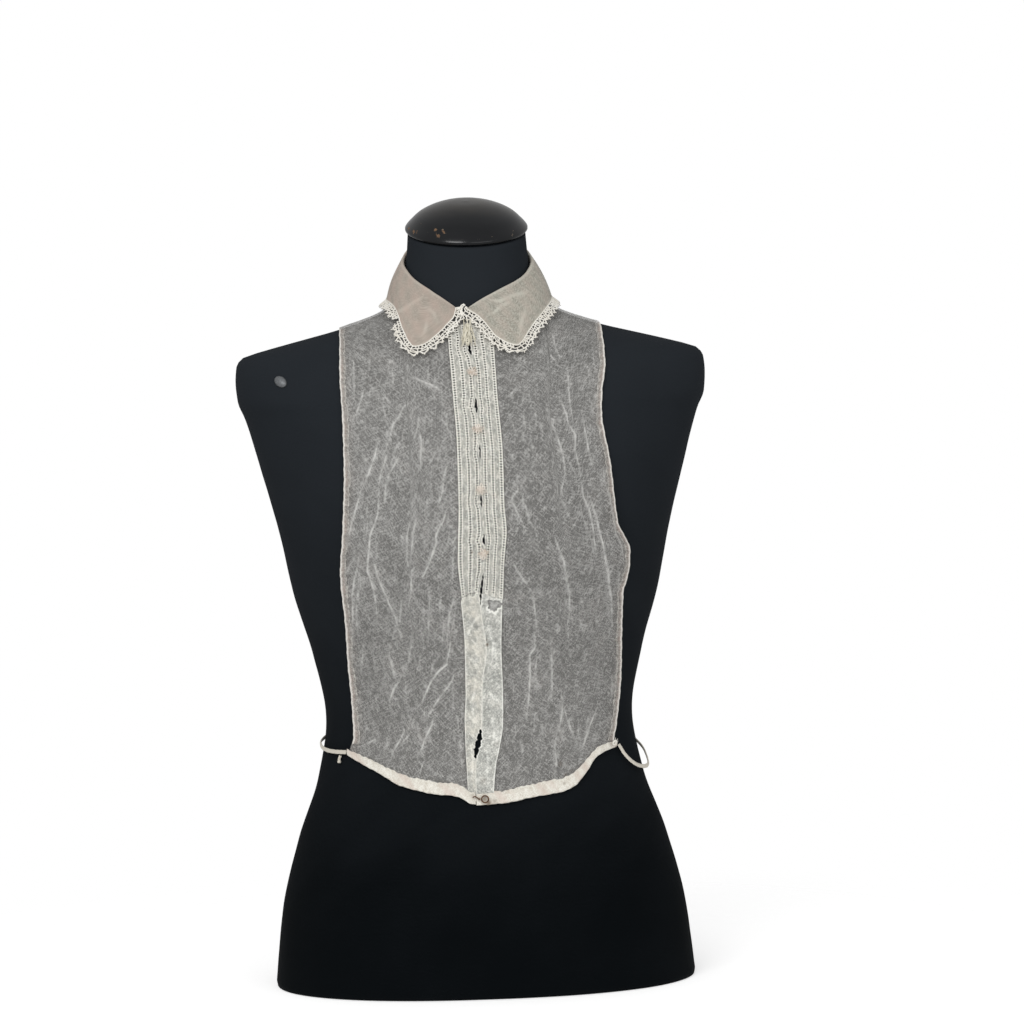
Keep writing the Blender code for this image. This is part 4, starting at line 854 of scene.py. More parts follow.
FRONT_CREASES = creases_of("""
    0.4 -80,523 -85,514; 0.4 -89,514 -92,507 -95,503; 0.45 -93,503 -93,484 -93,463;
    0.6 -85,474 -88,465 -93,451; 0.35 -69,490 -64,493 -59,489; 0.85 -52,481 -46,480 -38,476 -31,473 -23,467;
    0.35 -35,490 -36,485 -36,478; 0.3 -73,468 -68,464 -63,458;
    0.65 -47,462 -52,461 -56,458 -60,450 -64,445 -66,438 -68,430; 0.35 -46,460 -50,451 -51,449;
    0.55 -44,451 -45,442 -47,437 -49,432; 0.7 -45,442 -43,431 -44,421 -44,409; 0.35 -60,450 -67,442 -72,435;
    0.75 -74,437 -77,428 -78,423 -83,410 -88,398; 0.65 -70,423 -71,416 -74,410 -76,398; 0.4 -60,431 -64,423;
    0.6 -58,424 -63,415 -68,408 -70,397; 0.5 -28,449 -24,444 -21,437 -20,432;
    0.55 -22,417 -25,411 -27,405 -29,396; 0.3 -100,428 -100,418 -98,406; 0.3 -93,426 -88,430;
    0.25 -40,453 -36,447 -32,450; 0.7 -86,403 -90,395 -94,381 -97,372 -99,362 -101,353;
    0.85 -76,403 -76,388 -77,377 -80,369 -83,362 -84,352 -85,346 -86,335 -83,325 -81,315 -80,305 -80,290;
    0.75 -84,351 -81,341 -78,329 -74,318 -69,306 -65,297 -62,285 -60,278; 0.6 -70,403 -71,393 -72,385;
    0.3 -85,391 -85,378 -85,365 -88,352; 0.4 -73,377 -77,373;
    0.55 -47,384 -51,375 -54,370 -56,359 -56,344 -55,335;
    0.6 -47,379 -50,368 -51,363 -52,354 -53,344 -54,339; 0.5 -27,402 -29,392 -32,382;
    0.8 -22,387 -26,380 -28,372 -31,367 -34,361 -34,355 -37,347 -41,337 -45,329 -50,320;
    0.45 -18,362 -23,351; 0.5 -18,358 -21,348 -22,334 -22,322; 0.35 -25,364 -24,358 -27,351 -31,345;
    0.7 -50,339 -53,333 -53,320 -55,312 -56,307; 0.45 -61,317 -61,308 -63,291;
    0.3 -81,369 -73,364 -66,360 -62,357; 0.7 -91,352 -93,339 -96,329 -98,315 -98,302 -98,290 -99,277;
    0.5 -93,338 -93,323 -95,306 -95,290 -94,281; 0.5 -94,346 -99,339 -104,329;
    0.45 -42,327 -40,318 -40,306 -41,289 -42,276; 0.45 -31,318 -32,307 -33,299;
    0.65 -19,318 -22,310 -25,301 -26,291 -28,276; 0.35 -20,306 -22,295 -24,282; 0.4 -29,297 -30,285 -31,276;
    0.35 -51,290 -54,283 -55,276; 0.5 -70,268 -68,256 -67,249; 0.4 -52,283 -55,273 -57,260 -60,254;
    0.7 -60,254 -64,248 -68,241 -71,232 -71,224; 0.5 -48,270 -48,263 -51,253;
    0.9 -24,282 -26,269 -28,260 -34,255 -40,247 -43,240 -47,231 -52,224; 0.45 -36,266 -39,258 -40,247;
    0.7 -21,255 -24,247 -30,239 -35,232 -40,224 -42,220; 0.5 -38,225 -42,221 -43,214;
    0.8 -38,220 -40,212 -45,202 -48,194 -52,187; 0.7 -60,209 -65,199 -70,191 -72,185;
    0.45 -55,208 -61,200 -66,194; 0.5 -81,202 -89,197 -96,193; 0.5 -46,186 -49,178 -51,172;
    0.45 -91,276 -91,267 -93,253; 0.3 -21,232 -20,210 -18,193 -18,175; 0.4 -47,225 -43,214;
    0.3 -24,252 -23,236 -24,219; 0.55 59,514 63,509 64,500 66,495 68,491; 0.5 56,500 61,493 65,488;
    0.55 73,492 72,485 72,475 72,462 73,450 75,438;
    0.8 64,470 64,464 67,455 69,449 70,442 75,433 74,422 76,411 77,400; 0.4 44,480 48,481 57,481;
    0.4 18,479 24,481; 0.45 22,462 27,465 30,469 33,468; 0.35 46,471 46,463; 0.45 54,450 57,446 61,444;
    0.65 55,449 58,440 61,431 64,420 65,410 65,401; 0.3 85,479 84,470;
    0.6 81,453 82,441 83,432 84,423 85,415 87,407; 0.4 26,445 29,438 30,433; 0.35 36,455 36,439 34,427;
    0.4 21,424 25,421 27,415; 0.35 86,465 89,457 89,445; 0.4 39,410 45,413; 0.4 67,417 71,408 75,402;
    0.4 94,414 95,400; 0.25 75,500 79,496; 0.3 59,464 56,458 54,454;
    0.7 29,408 29,393 25,389 24,386 28,376 33,365 35,359; 0.3 25,383 24,373 23,364;
    0.45 27,386 31,385 34,382 36,374 38,368 43,360; 0.6 66,407 64,400 62,392 61,385;
    0.75 77,407 78,395 79,386 83,377 85,367 86,359 87,349 89,335;
    0.85 81,394 84,386 88,372 90,362 93,350 95,339 97,329 98,320 100,307 101,291 101,278;
    0.35 75,387 77,374 81,362 85,350 87,334;
    0.75 49,365 52,360 56,357 59,348 63,338 64,328 67,313 67,299 65,285; 0.75 24,339 27,332 31,326 36,320;
    0.45 55,385 49,379 44,376; 0.6 40,320 39,311 40,303 41,293 42,281; 0.4 35,297 34,282;
    0.6 94,406 95,397 98,386 101,370 102,358 107,349 109,338 110,329; 0.4 106,330 105,318 107,309;
    0.25 18,303 31,303; 0.3 41,310 48,313 53,317; 0.25 45,337 55,340; 0.3 48,304 50,294; 0.3 58,290 58,282;
    0.8 40,288 40,271 36,266 36,259 36,249 35,235 34,224 33,217 32,211;
    0.5 42,270 41,260 40,248 44,237 45,231; 0.65 53,274 53,256 53,242 53,226;
    0.7 60,239 61,226 60,215 58,206 60,198 62,191; 0.65 62,223 65,211 69,199 72,190;
    0.6 56,203 54,192 55,180 53,166; 0.65 87,222 87,217 82,206 79,198 76,189 75,183;
    0.3 89,202 86,194 83,190; 0.4 24,211 24,201; 0.35 27,199 29,190 30,183; 0.3 57,287 57,280;
    0.35 100,248 101,234 100,223""") + small_creases(300, -100.0, 100.0, 200.0, 515.0)
BACK_CREASES = creases_of("""
    0.6 -30,470 -36,452 -44,430 -50,404 -58,372 -66,330 -72,300; 0.5 -52,480 -60,466 -72,452 -88,440;
    0.6 -78,440 -84,410 -86,372 -84,330 -88,292; 0.5 -20,440 -24,420 -22,396 -28,372;
    0.45 -64,300 -56,284 -50,262 -52,240; 0.6 26,470 32,448 38,420 46,388 52,352 58,320;
    0.55 80,420 86,396 84,362 76,330 74,292 70,254; 0.5 48,486 58,474 66,466 82,460;
    0.4 10,410 6,388 12,362 8,340; 0.5 -10,335 -6,312 -12,286 -2,258 4,228;
    0.45 30,300 36,280 34,254 42,232; 0.5 92,330 88,300 92,268 86,238; 0.4 -96,470 -94,446 -98,420;
    0.45 -36,260 -28,246 -24,226; 0.4 60,500 52,494 40,492; 0.35 -20,505 -32,500 -46,502""")
BACK_CREASES += small_creases(240, -98.0, 98.0, 210.0, 515.0)


# ---- the net -------------------------------------------------------------------------------------
NET_SHORTEST, NET_TALLEST = 120.0 * MM, 565.0 * MM
CREASE_HEIGHT, SLACK_HEIGHT = 0.75 * MM, 0.25 * MM
FRONT_ROWS, FRONT_COLUMNS = 308, 150
BACK_ROWS, BACK_COLUMNS = 230, 112
NET_FOOT = 1.0 * MM             # the net ends this far above the lower edge of its tape
SIDE_HEM_ROWS, SIDE_HEM_COLUMNS = 330, 15
SIDE_HEM_FOOT = {-1: 196.0 * MM, 1: 192.0 * MM}
PAINTED_LIGHT_IN_HOLE = ((9.1, 306.4, 6.5, 0.40),)         # painted light: the net is lightened where the worn strip leaves it bare
RUST_ON_NET = rows_of("58 178 1.6 0.5, 62 169 1.3 0.6, 57 166 1 0.4, 66 172 1 0.35")


def net_places(across_at, bottom, face, rows):
    """Across and height of a grid up the net's columns, evenly spaced from waist edge to neckline."""
    low, high = bottom + NET_SHORTEST, np.full(bottom.shape, NET_TALLEST)
    for _ in range(40):
        middle = 0.5 * (low + high)
        across = across_at(middle)
        inside = np.abs(across) < FORM.half_width(middle)
        inside &= middle < NECKLINE.height(np.abs(azimuth_at(across, middle, face)))
        low, high = np.where(inside, middle, low), np.where(inside, high, middle)
    share = np.linspace(0.0, 1.0, 161)[:, None]
    heights = low - (low - bottom) * (1.0 - share) ** 2
    points = on_net(across_at(heights), heights, face, 0.0)
    steps = np.linalg.norm(np.diff(points, axis=0), axis=-1)
    lengths = np.concatenate([np.zeros((1, steps.shape[1])), np.cumsum(steps, axis=0)])
    even = np.stack([np.interp(np.linspace(0.0, 1.0, rows) * lengths[-1, c], lengths[:, c], heights[:, c])
                     for c in range(len(bottom))], axis=1)
    return across_at(even), even


def net_points(across, height, face, lift):
    """Points above the net that stay on their own side of the shoulder seam."""
    over_shoulder = ramp(np.abs(across), 50.0 * MM, 62.0 * MM) * ramp(height, 492.0 * MM, 510.0 * MM)
    points = on_net(across, height, face, lift - 1.5 * MM * over_shoulder)
    points[..., 1] = face * np.maximum(face * points[..., 1], SEAM)
    return points


def lay_cloth(name, face, grids, wall, material, keep=None, order=1, points_at=on_net):
    """A thin wall of cloth over the net's inner face. The grids are across, height, lift, crease,
    warm and rust; order is -1 where their columns run to the left seen from outside."""
    shape = np.broadcast(*grids, wall).shape
    across, height, lift, crease, warm, rust, wall = (np.broadcast_to(grid, shape)[:, ::order]
                                                      for grid in (*grids, wall))
    values = {"crease": crease, "warm": warm, "rust": rust}
    keep = keep if keep is None else keep[:, ::order]
    return shell(name, points_at(across, height, face, lift), wall, material, values, keep)


def all_corners(grid):
    """Which cells of a grid have all four corners set."""
    return grid[:-1, :-1] & grid[1:, 1:] & grid[1:, :-1] & grid[:-1, 1:]


def make_front(side):
    """One front of the net, with its creases; behind the placket strip it is cut away."""
    share = np.linspace(0.0, 1.0, FRONT_COLUMNS)[::side]

    def across_at(height):
        inner = opening_edge(height, side)
        return inner + share * (side * SIDE_EDGE[side].across(height) - inner)

    edge = across_at(HEM[side].lower(share * 100.0 * MM))
    bottom = HEM[side].lower(side * edge) + NET_FOOT
    across, height = net_places(across_at, bottom, -1, FRONT_ROWS)
    shade, rise = crease_field(across, height, FRONT_CREASES)
    under_strip = ramp(np.abs(across - OPENING.across(height)), 12.0 * MM, 19.0 * MM)
    slack = waves(across, height, "23 74 0.35, 31 20 0.35, 14 55 0.2, 11 -30 0.15")
    lift = NET_THREAD + CREASE_HEIGHT * rise * under_strip + SLACK_HEIGHT * (slack + 1.0) * under_strip
    near_edge = unit_clip(1.0 - np.abs(side * SIDE_EDGE[side].across(height) - across) / (9.0 * MM))
    # paler: lighter at mid-height on the left front, and painted light on the net in the worn hole.
    paler = 0.06 * bell(height - 410.0 * MM, 90.0 * MM) * (side < 0) + spots(across, height, PAINTED_LIGHT_IN_HOLE)
    inner = opening_edge(height, side)
    strip_width = side * (side * STRIP_EDGE["placket"][side].across(height) - inner)
    behind = side * (across - inner) < strip_width - 1.2 * MM
    behind &= (height > PLACKET_BOTTOM + 4.0 * MM) & (height < PLACKET_TOP - 2.0 * MM)
    grids = (across, height, lift, shade + paler, 0.25 * near_edge, spots(across, height, RUST_ON_NET))
    return lay_cloth(f"front_{SIDES[side]}_net", -1, grids, NET_THREAD, "net", ~all_corners(behind),
                     points_at=net_points)


def make_back():
    """The back of the net, in one piece, its creases like those of the fronts."""
    share = np.linspace(1.0, -1.0, BACK_COLUMNS)
    bottom = BACK_HEM.lower(np.abs(share) * 98.0 * MM) + NET_FOOT
    across, height = net_places(lambda h: share * BACK_EDGE.across(h), bottom, 1, BACK_ROWS)
    shade, rise = crease_field(across, height, BACK_CREASES)
    slack = waves(across, height, "26 80 0.35, 37 15 0.35, 15 50 0.2")
    lift = NET_THREAD + CREASE_HEIGHT * rise + SLACK_HEIGHT * (slack + 1.0)
    grids = (across, height, lift, shade, 0.1 * shade, 0.0)
    return lay_cloth("back_net", 1, grids, NET_THREAD, "net", points_at=net_points)


def make_side_hem(name, side, face, edge_at, low, high):
    """The rolled hem up one side edge of the net: a bright roll along the edge and a seam inside it."""
    height = np.linspace(low, high, SIDE_HEM_ROWS)[:, None]
    u = np.linspace(0.0, 1.0, SIDE_HEM_COLUMNS)[None, :]
    wander = waves(0.0, height, "41 90 0.4, 17 90 0.3, 7.3 90 0.3")
    width = (4.4 + 0.9 * wander) * MM
    edge = edge_at(height) + 0.25 * MM * waves(0.0, height, "13 90 0.6, 5.1 90 0.4")
    pucker = waves(u * 3.0 * MM, height, "6.3 78 0.4, 3.7 98 0.3, 2.3 84 0.3")
    base = NET_THREAD + 0.12 * MM
    roll, seam = bell(u - 0.87, 0.17), bell(u - 0.07, 0.07)
    lift = base + (0.22 + 0.55 * roll + 0.12 * seam + 0.10 * pucker * np.sin(math.pi * u)) * MM
    crease = unit_clip(0.04 + 1.1 * roll + 0.35 * seam + 0.20 * pucker)
    warm = unit_clip(0.65 * bell(u - 0.55, 0.22) * (0.7 + 0.5 * wander))
    grids = (side * (edge - width * (1.0 - u)), height, lift, crease, warm, 0.0)
    return lay_cloth(name, face, grids, lift - base + 0.1 * MM, "hem_cloth", order=-side * face,
                     points_at=net_points)


def seam_height(edge):
    """How high a side edge reaches before the shoulder seam."""
    low, high = 400.0 * MM, 520.0 * MM
    for _ in range(30):
        middle = 0.5 * (low + high)
        low, high = (middle, high) if edge(middle) < FORM.half_width(middle) - 0.2 * MM else (low, middle)
    return low


# ---- the strips beside the opening ---------------------------------------------------------------
LADDER_PITCH = 1.95 * MM
LADDERS = (0.20, 0.53, 0.90)    # shares of the placket's width
LADDER_HALF, RAIL_AT = 0.038, 0.060             # half a ladder's holes and the rails beside them, as shares
LAP = 1.1 * MM                  # how far the left strip laps over the right one
PLACKET_WALL, FACING_WALL, TAPE_BASE = 0.55 * MM, 0.5 * MM, 0.30 * MM
FACING_ROWS, FACING_COLUMNS = 250, 30
TAPE_ROWS, TAPE_COLUMNS, BACK_TAPE_COLUMNS = 13, 190, 220
HOLE_ACROSS, HOLE_HEIGHT, HOLE_RADIUS = 9.1, 306.4, 5.6


def closed_at(height):
    """1 where the front edges meet, 0 in the slits."""
    gap = OPENING.across(height) - opening_edge(height, -1)
    return unit_clip(1.0 - (gap - EDGE_GAP) / (0.7 * MM))


def strip_places(side, edge, shares, bottom, top, rows):
    """Across and height of a grid over a strip beside the opening, and how far the left strip rises
    where it laps over the right one."""
    height = bottom + (top - bottom) * np.linspace(0.0, 1.0, rows)[:, None]
    inner, lap = opening_edge(height, side), np.zeros(height.shape)
    if side < 0:
        inner = inner + LAP * closed_at(height)
        lap = 0.75 * closed_at(height) * bell(shares, 0.13)
    return inner + shares * (side * edge.across(height) - inner), height, lap


def ladder_grids(side, rows, shares):
    """The placket's drawn-thread ladders: how strongly each place is a rail and a bar, and which
    cells are holes."""
    rail, knot = np.zeros((rows, len(shares))), np.zeros((rows, len(shares)))
    hole = np.zeros((rows - 1, len(shares) - 1), bool)
    middles = 0.5 * (shares[1:] + shares[:-1])
    step = np.arange(rows)
    for number, middle in enumerate(LADDERS):
        rail = np.maximum(rail, bell(np.abs(shares - middle) - RAIL_AT, 0.020)[None, :])
        bars = np.cos(2.0 * math.pi * (step + 2.0 * number - 3.0) / 4.0)
        knot = np.maximum(knot, bell(shares - middle, 0.085, 6)[None, :] * unit_clip(0.3 + bars)[:, None])
        gap = (step[:-1] + 2 * number) % 4 < 2
        hole |= gap[:, None] & (np.abs(middles - middle) < LADDER_HALF)[None, :]
    hole[:6] = hole[-3:] = False
    if side < 0:                                # its outer ladder turns along the slanting foot
        hole[4:6] |= (np.arange(len(middles)) % 2 == 0) & (middles > 0.2)
    return rail, knot, hole


def make_placket(side):
    """The doubled strip beside the opening, its three ladders of drawn threads cut right through."""
    offs = (-0.090, -RAIL_AT, -LADDER_HALF, 0.0, LADDER_HALF, RAIL_AT, 0.090)
    columns = [middle + off for middle in LADDERS for off in offs]
    columns += [0.0, 0.02, 0.05, 0.09, 0.32, 0.35, 0.38, 0.64, 0.69, 0.74, 0.78, 1.0]
    shares = np.unique(np.round(columns, 4))
    bottom = PLACKET_BOTTOM - 0.4 * MM + STRIP_END_RISE * (1.0 - shares)
    rows = 4 * int(round((PLACKET_TOP - PLACKET_BOTTOM) / LADDER_PITCH)) + 1
    across, height, lap = strip_places(side, STRIP_EDGE["placket"][side], shares, bottom, PLACKET_TOP, rows)
    rail, knot, hole = ladder_grids(side, rows, shares)
    crease, rise = crease_field(across, height, PLACKET_CREASES[side], core=0.8, reach=1.2)
    slack = waves(across, height, "47 82 0.4, 19 70 0.3, 8.7 95 0.3")
    edge = np.maximum(bell(shares, 0.05), 0.8 * bell(1.0 - shares, 0.04))[None, :]
    lift = STRIP_LIFT + (0.22 * rail + 0.22 * knot + 0.30 * rise + 0.12 * edge - 0.30 + 0.16 * slack
                         + lap) * MM
    cloud = waves(across, height, "11 35 0.4, 6.3 -40 0.3, 23 80 0.3")
    shade = unit_clip(0.05 + 0.60 * rail + 0.90 * knot + 0.4 * crease + 0.35 * edge + 0.14 * cloud)
    warm = unit_clip(0.20 * rail + 0.10 + 0.12 * cloud)
    grids = (across, height, lift, shade, warm, spots(across, height, PLACKET_STAINS))
    return lay_cloth(f"placket_{SIDES[side]}_strip", -1, grids, PLACKET_WALL, "placket_cloth",
                     ~hole, side)


def worn_away(across, height):
    """How far each place lies from the middle of the worn hole, in radii of its ragged rim, and how
    frayed it is."""
    x, z = across - HOLE_ACROSS * MM, height - HOLE_HEIGHT * MM
    turn = np.arctan2(z, x)
    ragged = HOLE_RADIUS * (1.0 + 0.13 * np.sin(3.0 * turn + 0.6) + 0.10 * np.sin(5.0 * turn + 2.0)
                            + 0.07 * np.sin(11.0 * turn) + 0.05 * np.sin(17.0 * turn + 1.0))
    away = np.hypot(x, 1.25 * z) / (ragged * MM)
    return away, bell(away - 1.12, 0.18) * (0.35 + 0.85 * (z < 0.0))


def make_facing(side):
    """The plain doubled strip below a placket; the right one is worn through near its top."""
    shares = np.linspace(0.0, 1.0, FACING_COLUMNS)
    edge = STRIP_EDGE["facing"][side]
    foot = 165.0 * MM
    inner = side * opening_edge(foot, side)
    reach = inner + shares * (edge.across(foot) - inner)
    bottom = HEM[side].lower(reach) + HEM[side].width(reach) - 1.0 * MM
    top = FACING_TOP + 1.2 * MM + STRIP_END_RISE * (1.0 - shares)
    across, height, lap = strip_places(side, edge, shares, bottom, top, FACING_ROWS)
    crease, rise = crease_field(across, height, FACING_CREASES[side], core=0.9, reach=1.3)
    slack = waves(across, height, "31 80 0.35, 12 62 0.3, 6.5 -50 0.2, 4.4 20 0.15")
    rim = np.maximum(bell(shares, 0.055), bell(1.0 - shares, 0.05))[None, :]
    end = bell(top - height, 1.1 * MM)
    fold = bell(shares - 0.30 - 0.25 * slack, 0.16) * (side < 0)
    lift = STRIP_LIFT + (0.40 * rise + 0.15 * rim - 0.35 * end - 0.45 + 0.22 * slack + 0.25 * fold + lap) * MM
    shade = unit_clip(0.10 + 0.75 * crease + 0.75 * rim + 0.5 * end + 0.22 * slack + 0.18 * fold)
    keep = None
    if side > 0:
        away, fray = worn_away(across, height)
        keep = ~all_corners(away < 1.0)
        shade = unit_clip(shade + 0.9 * fray)
    warm = unit_clip((0.55 if side < 0 else 0.12) * (0.4 + 0.4 * slack) + 0.15 * fold)
    grids = (across, height, lift, shade, warm, spots(across, height, FACING_STAINS))
    return lay_cloth(f"facing_{SIDES[side]}_strip", -1, grids, FACING_WALL, "facing_cloth",
                     keep, side)


def make_band(name, across, away, hem, face, crumple=0.8):
    """A folded tape along a waist edge, by its columns' places and distances from the middle; crumple is how
    uneven each column is."""
    across, v = across[None], np.linspace(0.0, 1.0, TAPE_ROWS)[:, None]
    edge_wave = waves(across, 0.0, "23 0 0.4, 9.1 0 0.3, 4.3 0 0.3")
    foot_wave = waves(across, 0.0, "27 0 0.5, 11 0 0.3, 5.3 0 0.2")
    height = hem.lower(away) + 0.45 * MM * foot_wave + (hem.width(away) + 0.80 * MM * edge_wave) * v
    swell = unit_clip(1.0 - np.abs(2.0 * v - 1.0) ** 3.0) ** 0.6
    folds = waves(across, height, "9 24 0.35, 5.3 -18 0.3, 3.1 35 0.2, 13 80 0.15")
    stitches = bell(v - 0.80, 0.05)
    lift = (0.75 + 0.95 * swell) * MM + (0.28 * folds - 0.20 * stitches) * crumple * MM + 0.12 * MM
    shade = unit_clip(0.42 + 0.40 * folds + 0.30 * bell(v - 0.95, 0.06) - 0.35 * stitches)
    warm = unit_clip(0.05 + 0.42 * waves(across, height, "33 10 0.6, 9 40 0.4"))
    rust = spots(across, height, BAND_STAINS) if face < 0 else 0.0
    grids = (across, height, lift, shade, warm, rust)
    return lay_cloth(name, face, grids, lift - TAPE_BASE, "tape_cloth")


def make_bands():
    """The tapes along the waist edges of the fronts and the back."""
    for side, word in SIDES.items():
        inner = side * opening_edge(HEM[side].lower(0.0), side)
        outer = SIDE_EDGE[side].across(190.0 * MM) + 1.6 * MM
        away = np.linspace(inner, outer, TAPE_COLUMNS)[::side]
        crumple = 0.8 + 1.6 * bell(away - 9.0 * MM, 5.0 * MM) * (side < 0)
        make_band(f"hem_tape_{word}", side * away, away, HEM[side], -1, crumple)
    across = np.linspace(1.0, -1.0, BACK_TAPE_COLUMNS) * (BACK_EDGE.across(200.0 * MM) + 0.6 * MM)
    make_band("hem_tape_back", across, np.abs(across), BACK_HEM, 1)


# ---- the collar and its lace ---------------------------------------------------------------------
STAND_FACE, FOLD_RADIUS, STAND_SEAM = 2.2 * MM, 0.5 * MM, 1.2 * MM
TIP_REST, FALL_REST, REST_PARTS = 6.8 * MM, 6.5 * MM, (0.18, 0.36)
FALL_BULGE, FALL_RISE = 1.6 * MM, 0.3
FALL_ROWS, STAND_ROWS = 46, 9
LEAF_COLUMNS = 100              # on each side, with the middle of the back shared
COLLAR_WALL = 0.70 * MM
LACE_ENDS = 2.5                 # how far down the front edges the lace starts and stops
LACE_TEAR = (-64.0, -50.0, 520.0)
# The edge of each leaf: the left one is rounder, the right one comes to a corner.
LEAF = {
    -1: Table("part azimuth height", """
        0 4.9 531.8, 0.03 6.8 525, 0.06 10.7 519.8, 0.11 16.5 512.1, 0.16 21.4 506.7, 0.2 25.4 503.1,
        0.25 30.4 501.7, 0.29 33.8 505, 0.33 37.4 510.4, 0.38 43.4 518.9, 0.44 50 526.6, 0.5 57.6 532,
        0.64 84.5 539.5, 0.8 135 547, 1 180 547""", (1.0, DEGREE, MM)),
    1: Table("part azimuth height", """
        0 3 531.8, 0.05 10.3 526.5, 0.1 15.7 517.4, 0.15 19.1 508.8, 0.2 24.1 503.3, 0.25 28.3 500.8,
        0.29 31.1 502.9, 0.33 34.6 507.9, 0.38 41 516.2, 0.45 52.2 526.3, 0.5 60.2 531, 0.64 84.5 539,
        0.8 135 547, 1 180 547""", (1.0, DEGREE, MM)),
}


def drifted(azimuth, height, side):
    """An azimuth on one side, carried with the opening where it is near the front."""
    point = form_point(azimuth, height)
    radius = np.hypot(point[..., 0], point[..., 1])
    return side * azimuth + TIP_DRIFT / radius * bell(azimuth, TIP_DRIFT_SPAN)


def fall_rest(part):
    """The height of the fall's edge above the form."""
    return TIP_REST + (FALL_REST - TIP_REST) * ramp(part, *REST_PARTS)


def collar_edge(side, part):
    """The fall's edge, on its inner face."""
    left = np.asarray(side) < 0
    height = np.where(left, LEAF[-1].height(part), LEAF[1].height(part))
    azimuth = np.where(left, LEAF[-1].azimuth(part), LEAF[1].azimuth(part))
    return above_form(drifted(azimuth, height, side), height, fall_rest(part))


def fold_start(side, part):
    """Where the fall starts under the fold: its azimuth, its height and its points."""
    fold = COLLAR.fold_height(part)
    azimuth, shoulder = drifted(COLLAR.fold_azimuth(part), fold, side), fold - FOLD_RADIUS
    return azimuth, shoulder, above_form(azimuth, shoulder, STAND_FACE + 2.0 * FOLD_RADIUS)


def fall_points(side, part, share):
    """Points of the fall, from the fold at share 0 to the edge at share 1."""
    azimuth, _, start = fold_start(side, part)
    near = STAND_FACE + 2.0 * FOLD_RADIUS
    outward = np.stack([np.sin(azimuth), -np.cos(azimuth), FALL_RISE + 0.0 * azimuth], -1)
    share = np.asarray(share, float)[..., None]
    point = start * (1.0 - share) + collar_edge(side, part) * share
    point = point + outward * FALL_BULGE * np.sin(math.pi * share)
    return settle(point, near + (fall_rest(part) - near) * share[..., 0], lower=False)


def both_sides(count, power=1.0):
    """Parts from one front tip round the back to the other: 0 to 1 and back to 0."""
    half = np.linspace(0.0, 1.0, count) ** power
    return np.concatenate([half, half[-2::-1]])


def collar_rows(side, part):
    """The collar's inner face, in rows from the fall's edge over the fold and down the stand."""
    azimuth, shoulder, _ = fold_start(side, part)
    foot = NECKLINE.height(COLLAR.fold_azimuth(part)) + STAND_SEAM
    rows = [fall_points(side, part, 1.0 - i / FALL_ROWS + 0.0 * part) for i in range(FALL_ROWS + 1)]
    for bend in (45.0, 90.0, 135.0):
        rise = FOLD_RADIUS * math.sin(bend * DEGREE)
        out = STAND_FACE + FOLD_RADIUS * (1.0 + math.cos(bend * DEGREE))
        rows.append(above_form(azimuth, shoulder + rise, out))
    for i in range(STAND_ROWS):
        share = 1.0 - i / (STAND_ROWS - 1.0)
        rows.append(above_form(azimuth, foot + (shoulder - foot) * share, STAND_FACE))
    return np.array(rows)


def make_collar():
    """The stand and the fall, in one folded piece, open at the front."""
    part = both_sides(LEAF_COLUMNS, 1.15)
    side = np.repeat([1.0, -1.0], [LEAF_COLUMNS, LEAF_COLUMNS - 1])
    base = collar_rows(side, part)
    azimuth, _, start = fold_start(side, part)
    place = unit_clip(1.0 - np.arange(len(base)) / FALL_ROWS)[:, None] + 0.0 * azimuth
    on_fall = np.sin(math.pi * unit_clip(place)) ** 0.5 * (place > 0.0)
    front = unit_clip(-base[..., 1] / (20.0 * MM))
    crease, rise = crease_field(base[..., 0], base[..., 2], COLLAR_CREASES, core=1.1, reach=2.0)
    around = azimuth * 55.0 * MM
    slack = 0.55 * MM * waves(around, base[..., 2], "24 20 0.4, 13 -15 0.25, 37 4 0.35")
    width = np.linalg.norm(collar_edge(side, part) - start, axis=-1) / MM
    from_edge = (1.0 - place) * width
    rim = bell(from_edge, 1.9, 4) * (place > 0.0)
    rim = rim * (0.75 + 0.25 * np.sin(np.cumsum(np.ones(azimuth.shape)) * 1.9))
    # Painted highlight: a bright line along the collar's fold.
    painted_fold_highlight = bell(from_edge - width, 1.4)
    lift = COLLAR_WALL + (0.9 * MM * rise * front + 0.6 * slack) * on_fall + 0.14 * MM * rim
    cloudy = waves(around, base[..., 2], "9 40 0.4, 17 -25 0.4")
    shade = unit_clip(0.16 + 0.7 * crease * front + 0.55 * rim + 0.45 * painted_fold_highlight + 0.10 * cloudy)
    warm = unit_clip(np.where(side < 0, 0.55, 0.15)[None, :] + 0.25 * cloudy)
    # The collar's 'crease' value holds its creases and edges, and the painted highlight along the fold.
    values = {"crease": shade, "warm": warm, "rust": spots(base[..., 0], base[..., 2], COLLAR_STAINS) * front}
    wall = COLLAR_WALL + (0.9 * MM * rise * front) * on_fall * 0.5
    outer = base + grid_normals(base) * lift[..., None]
    return shell("collar_leaf", outer, wall, "collar_cloth", values)


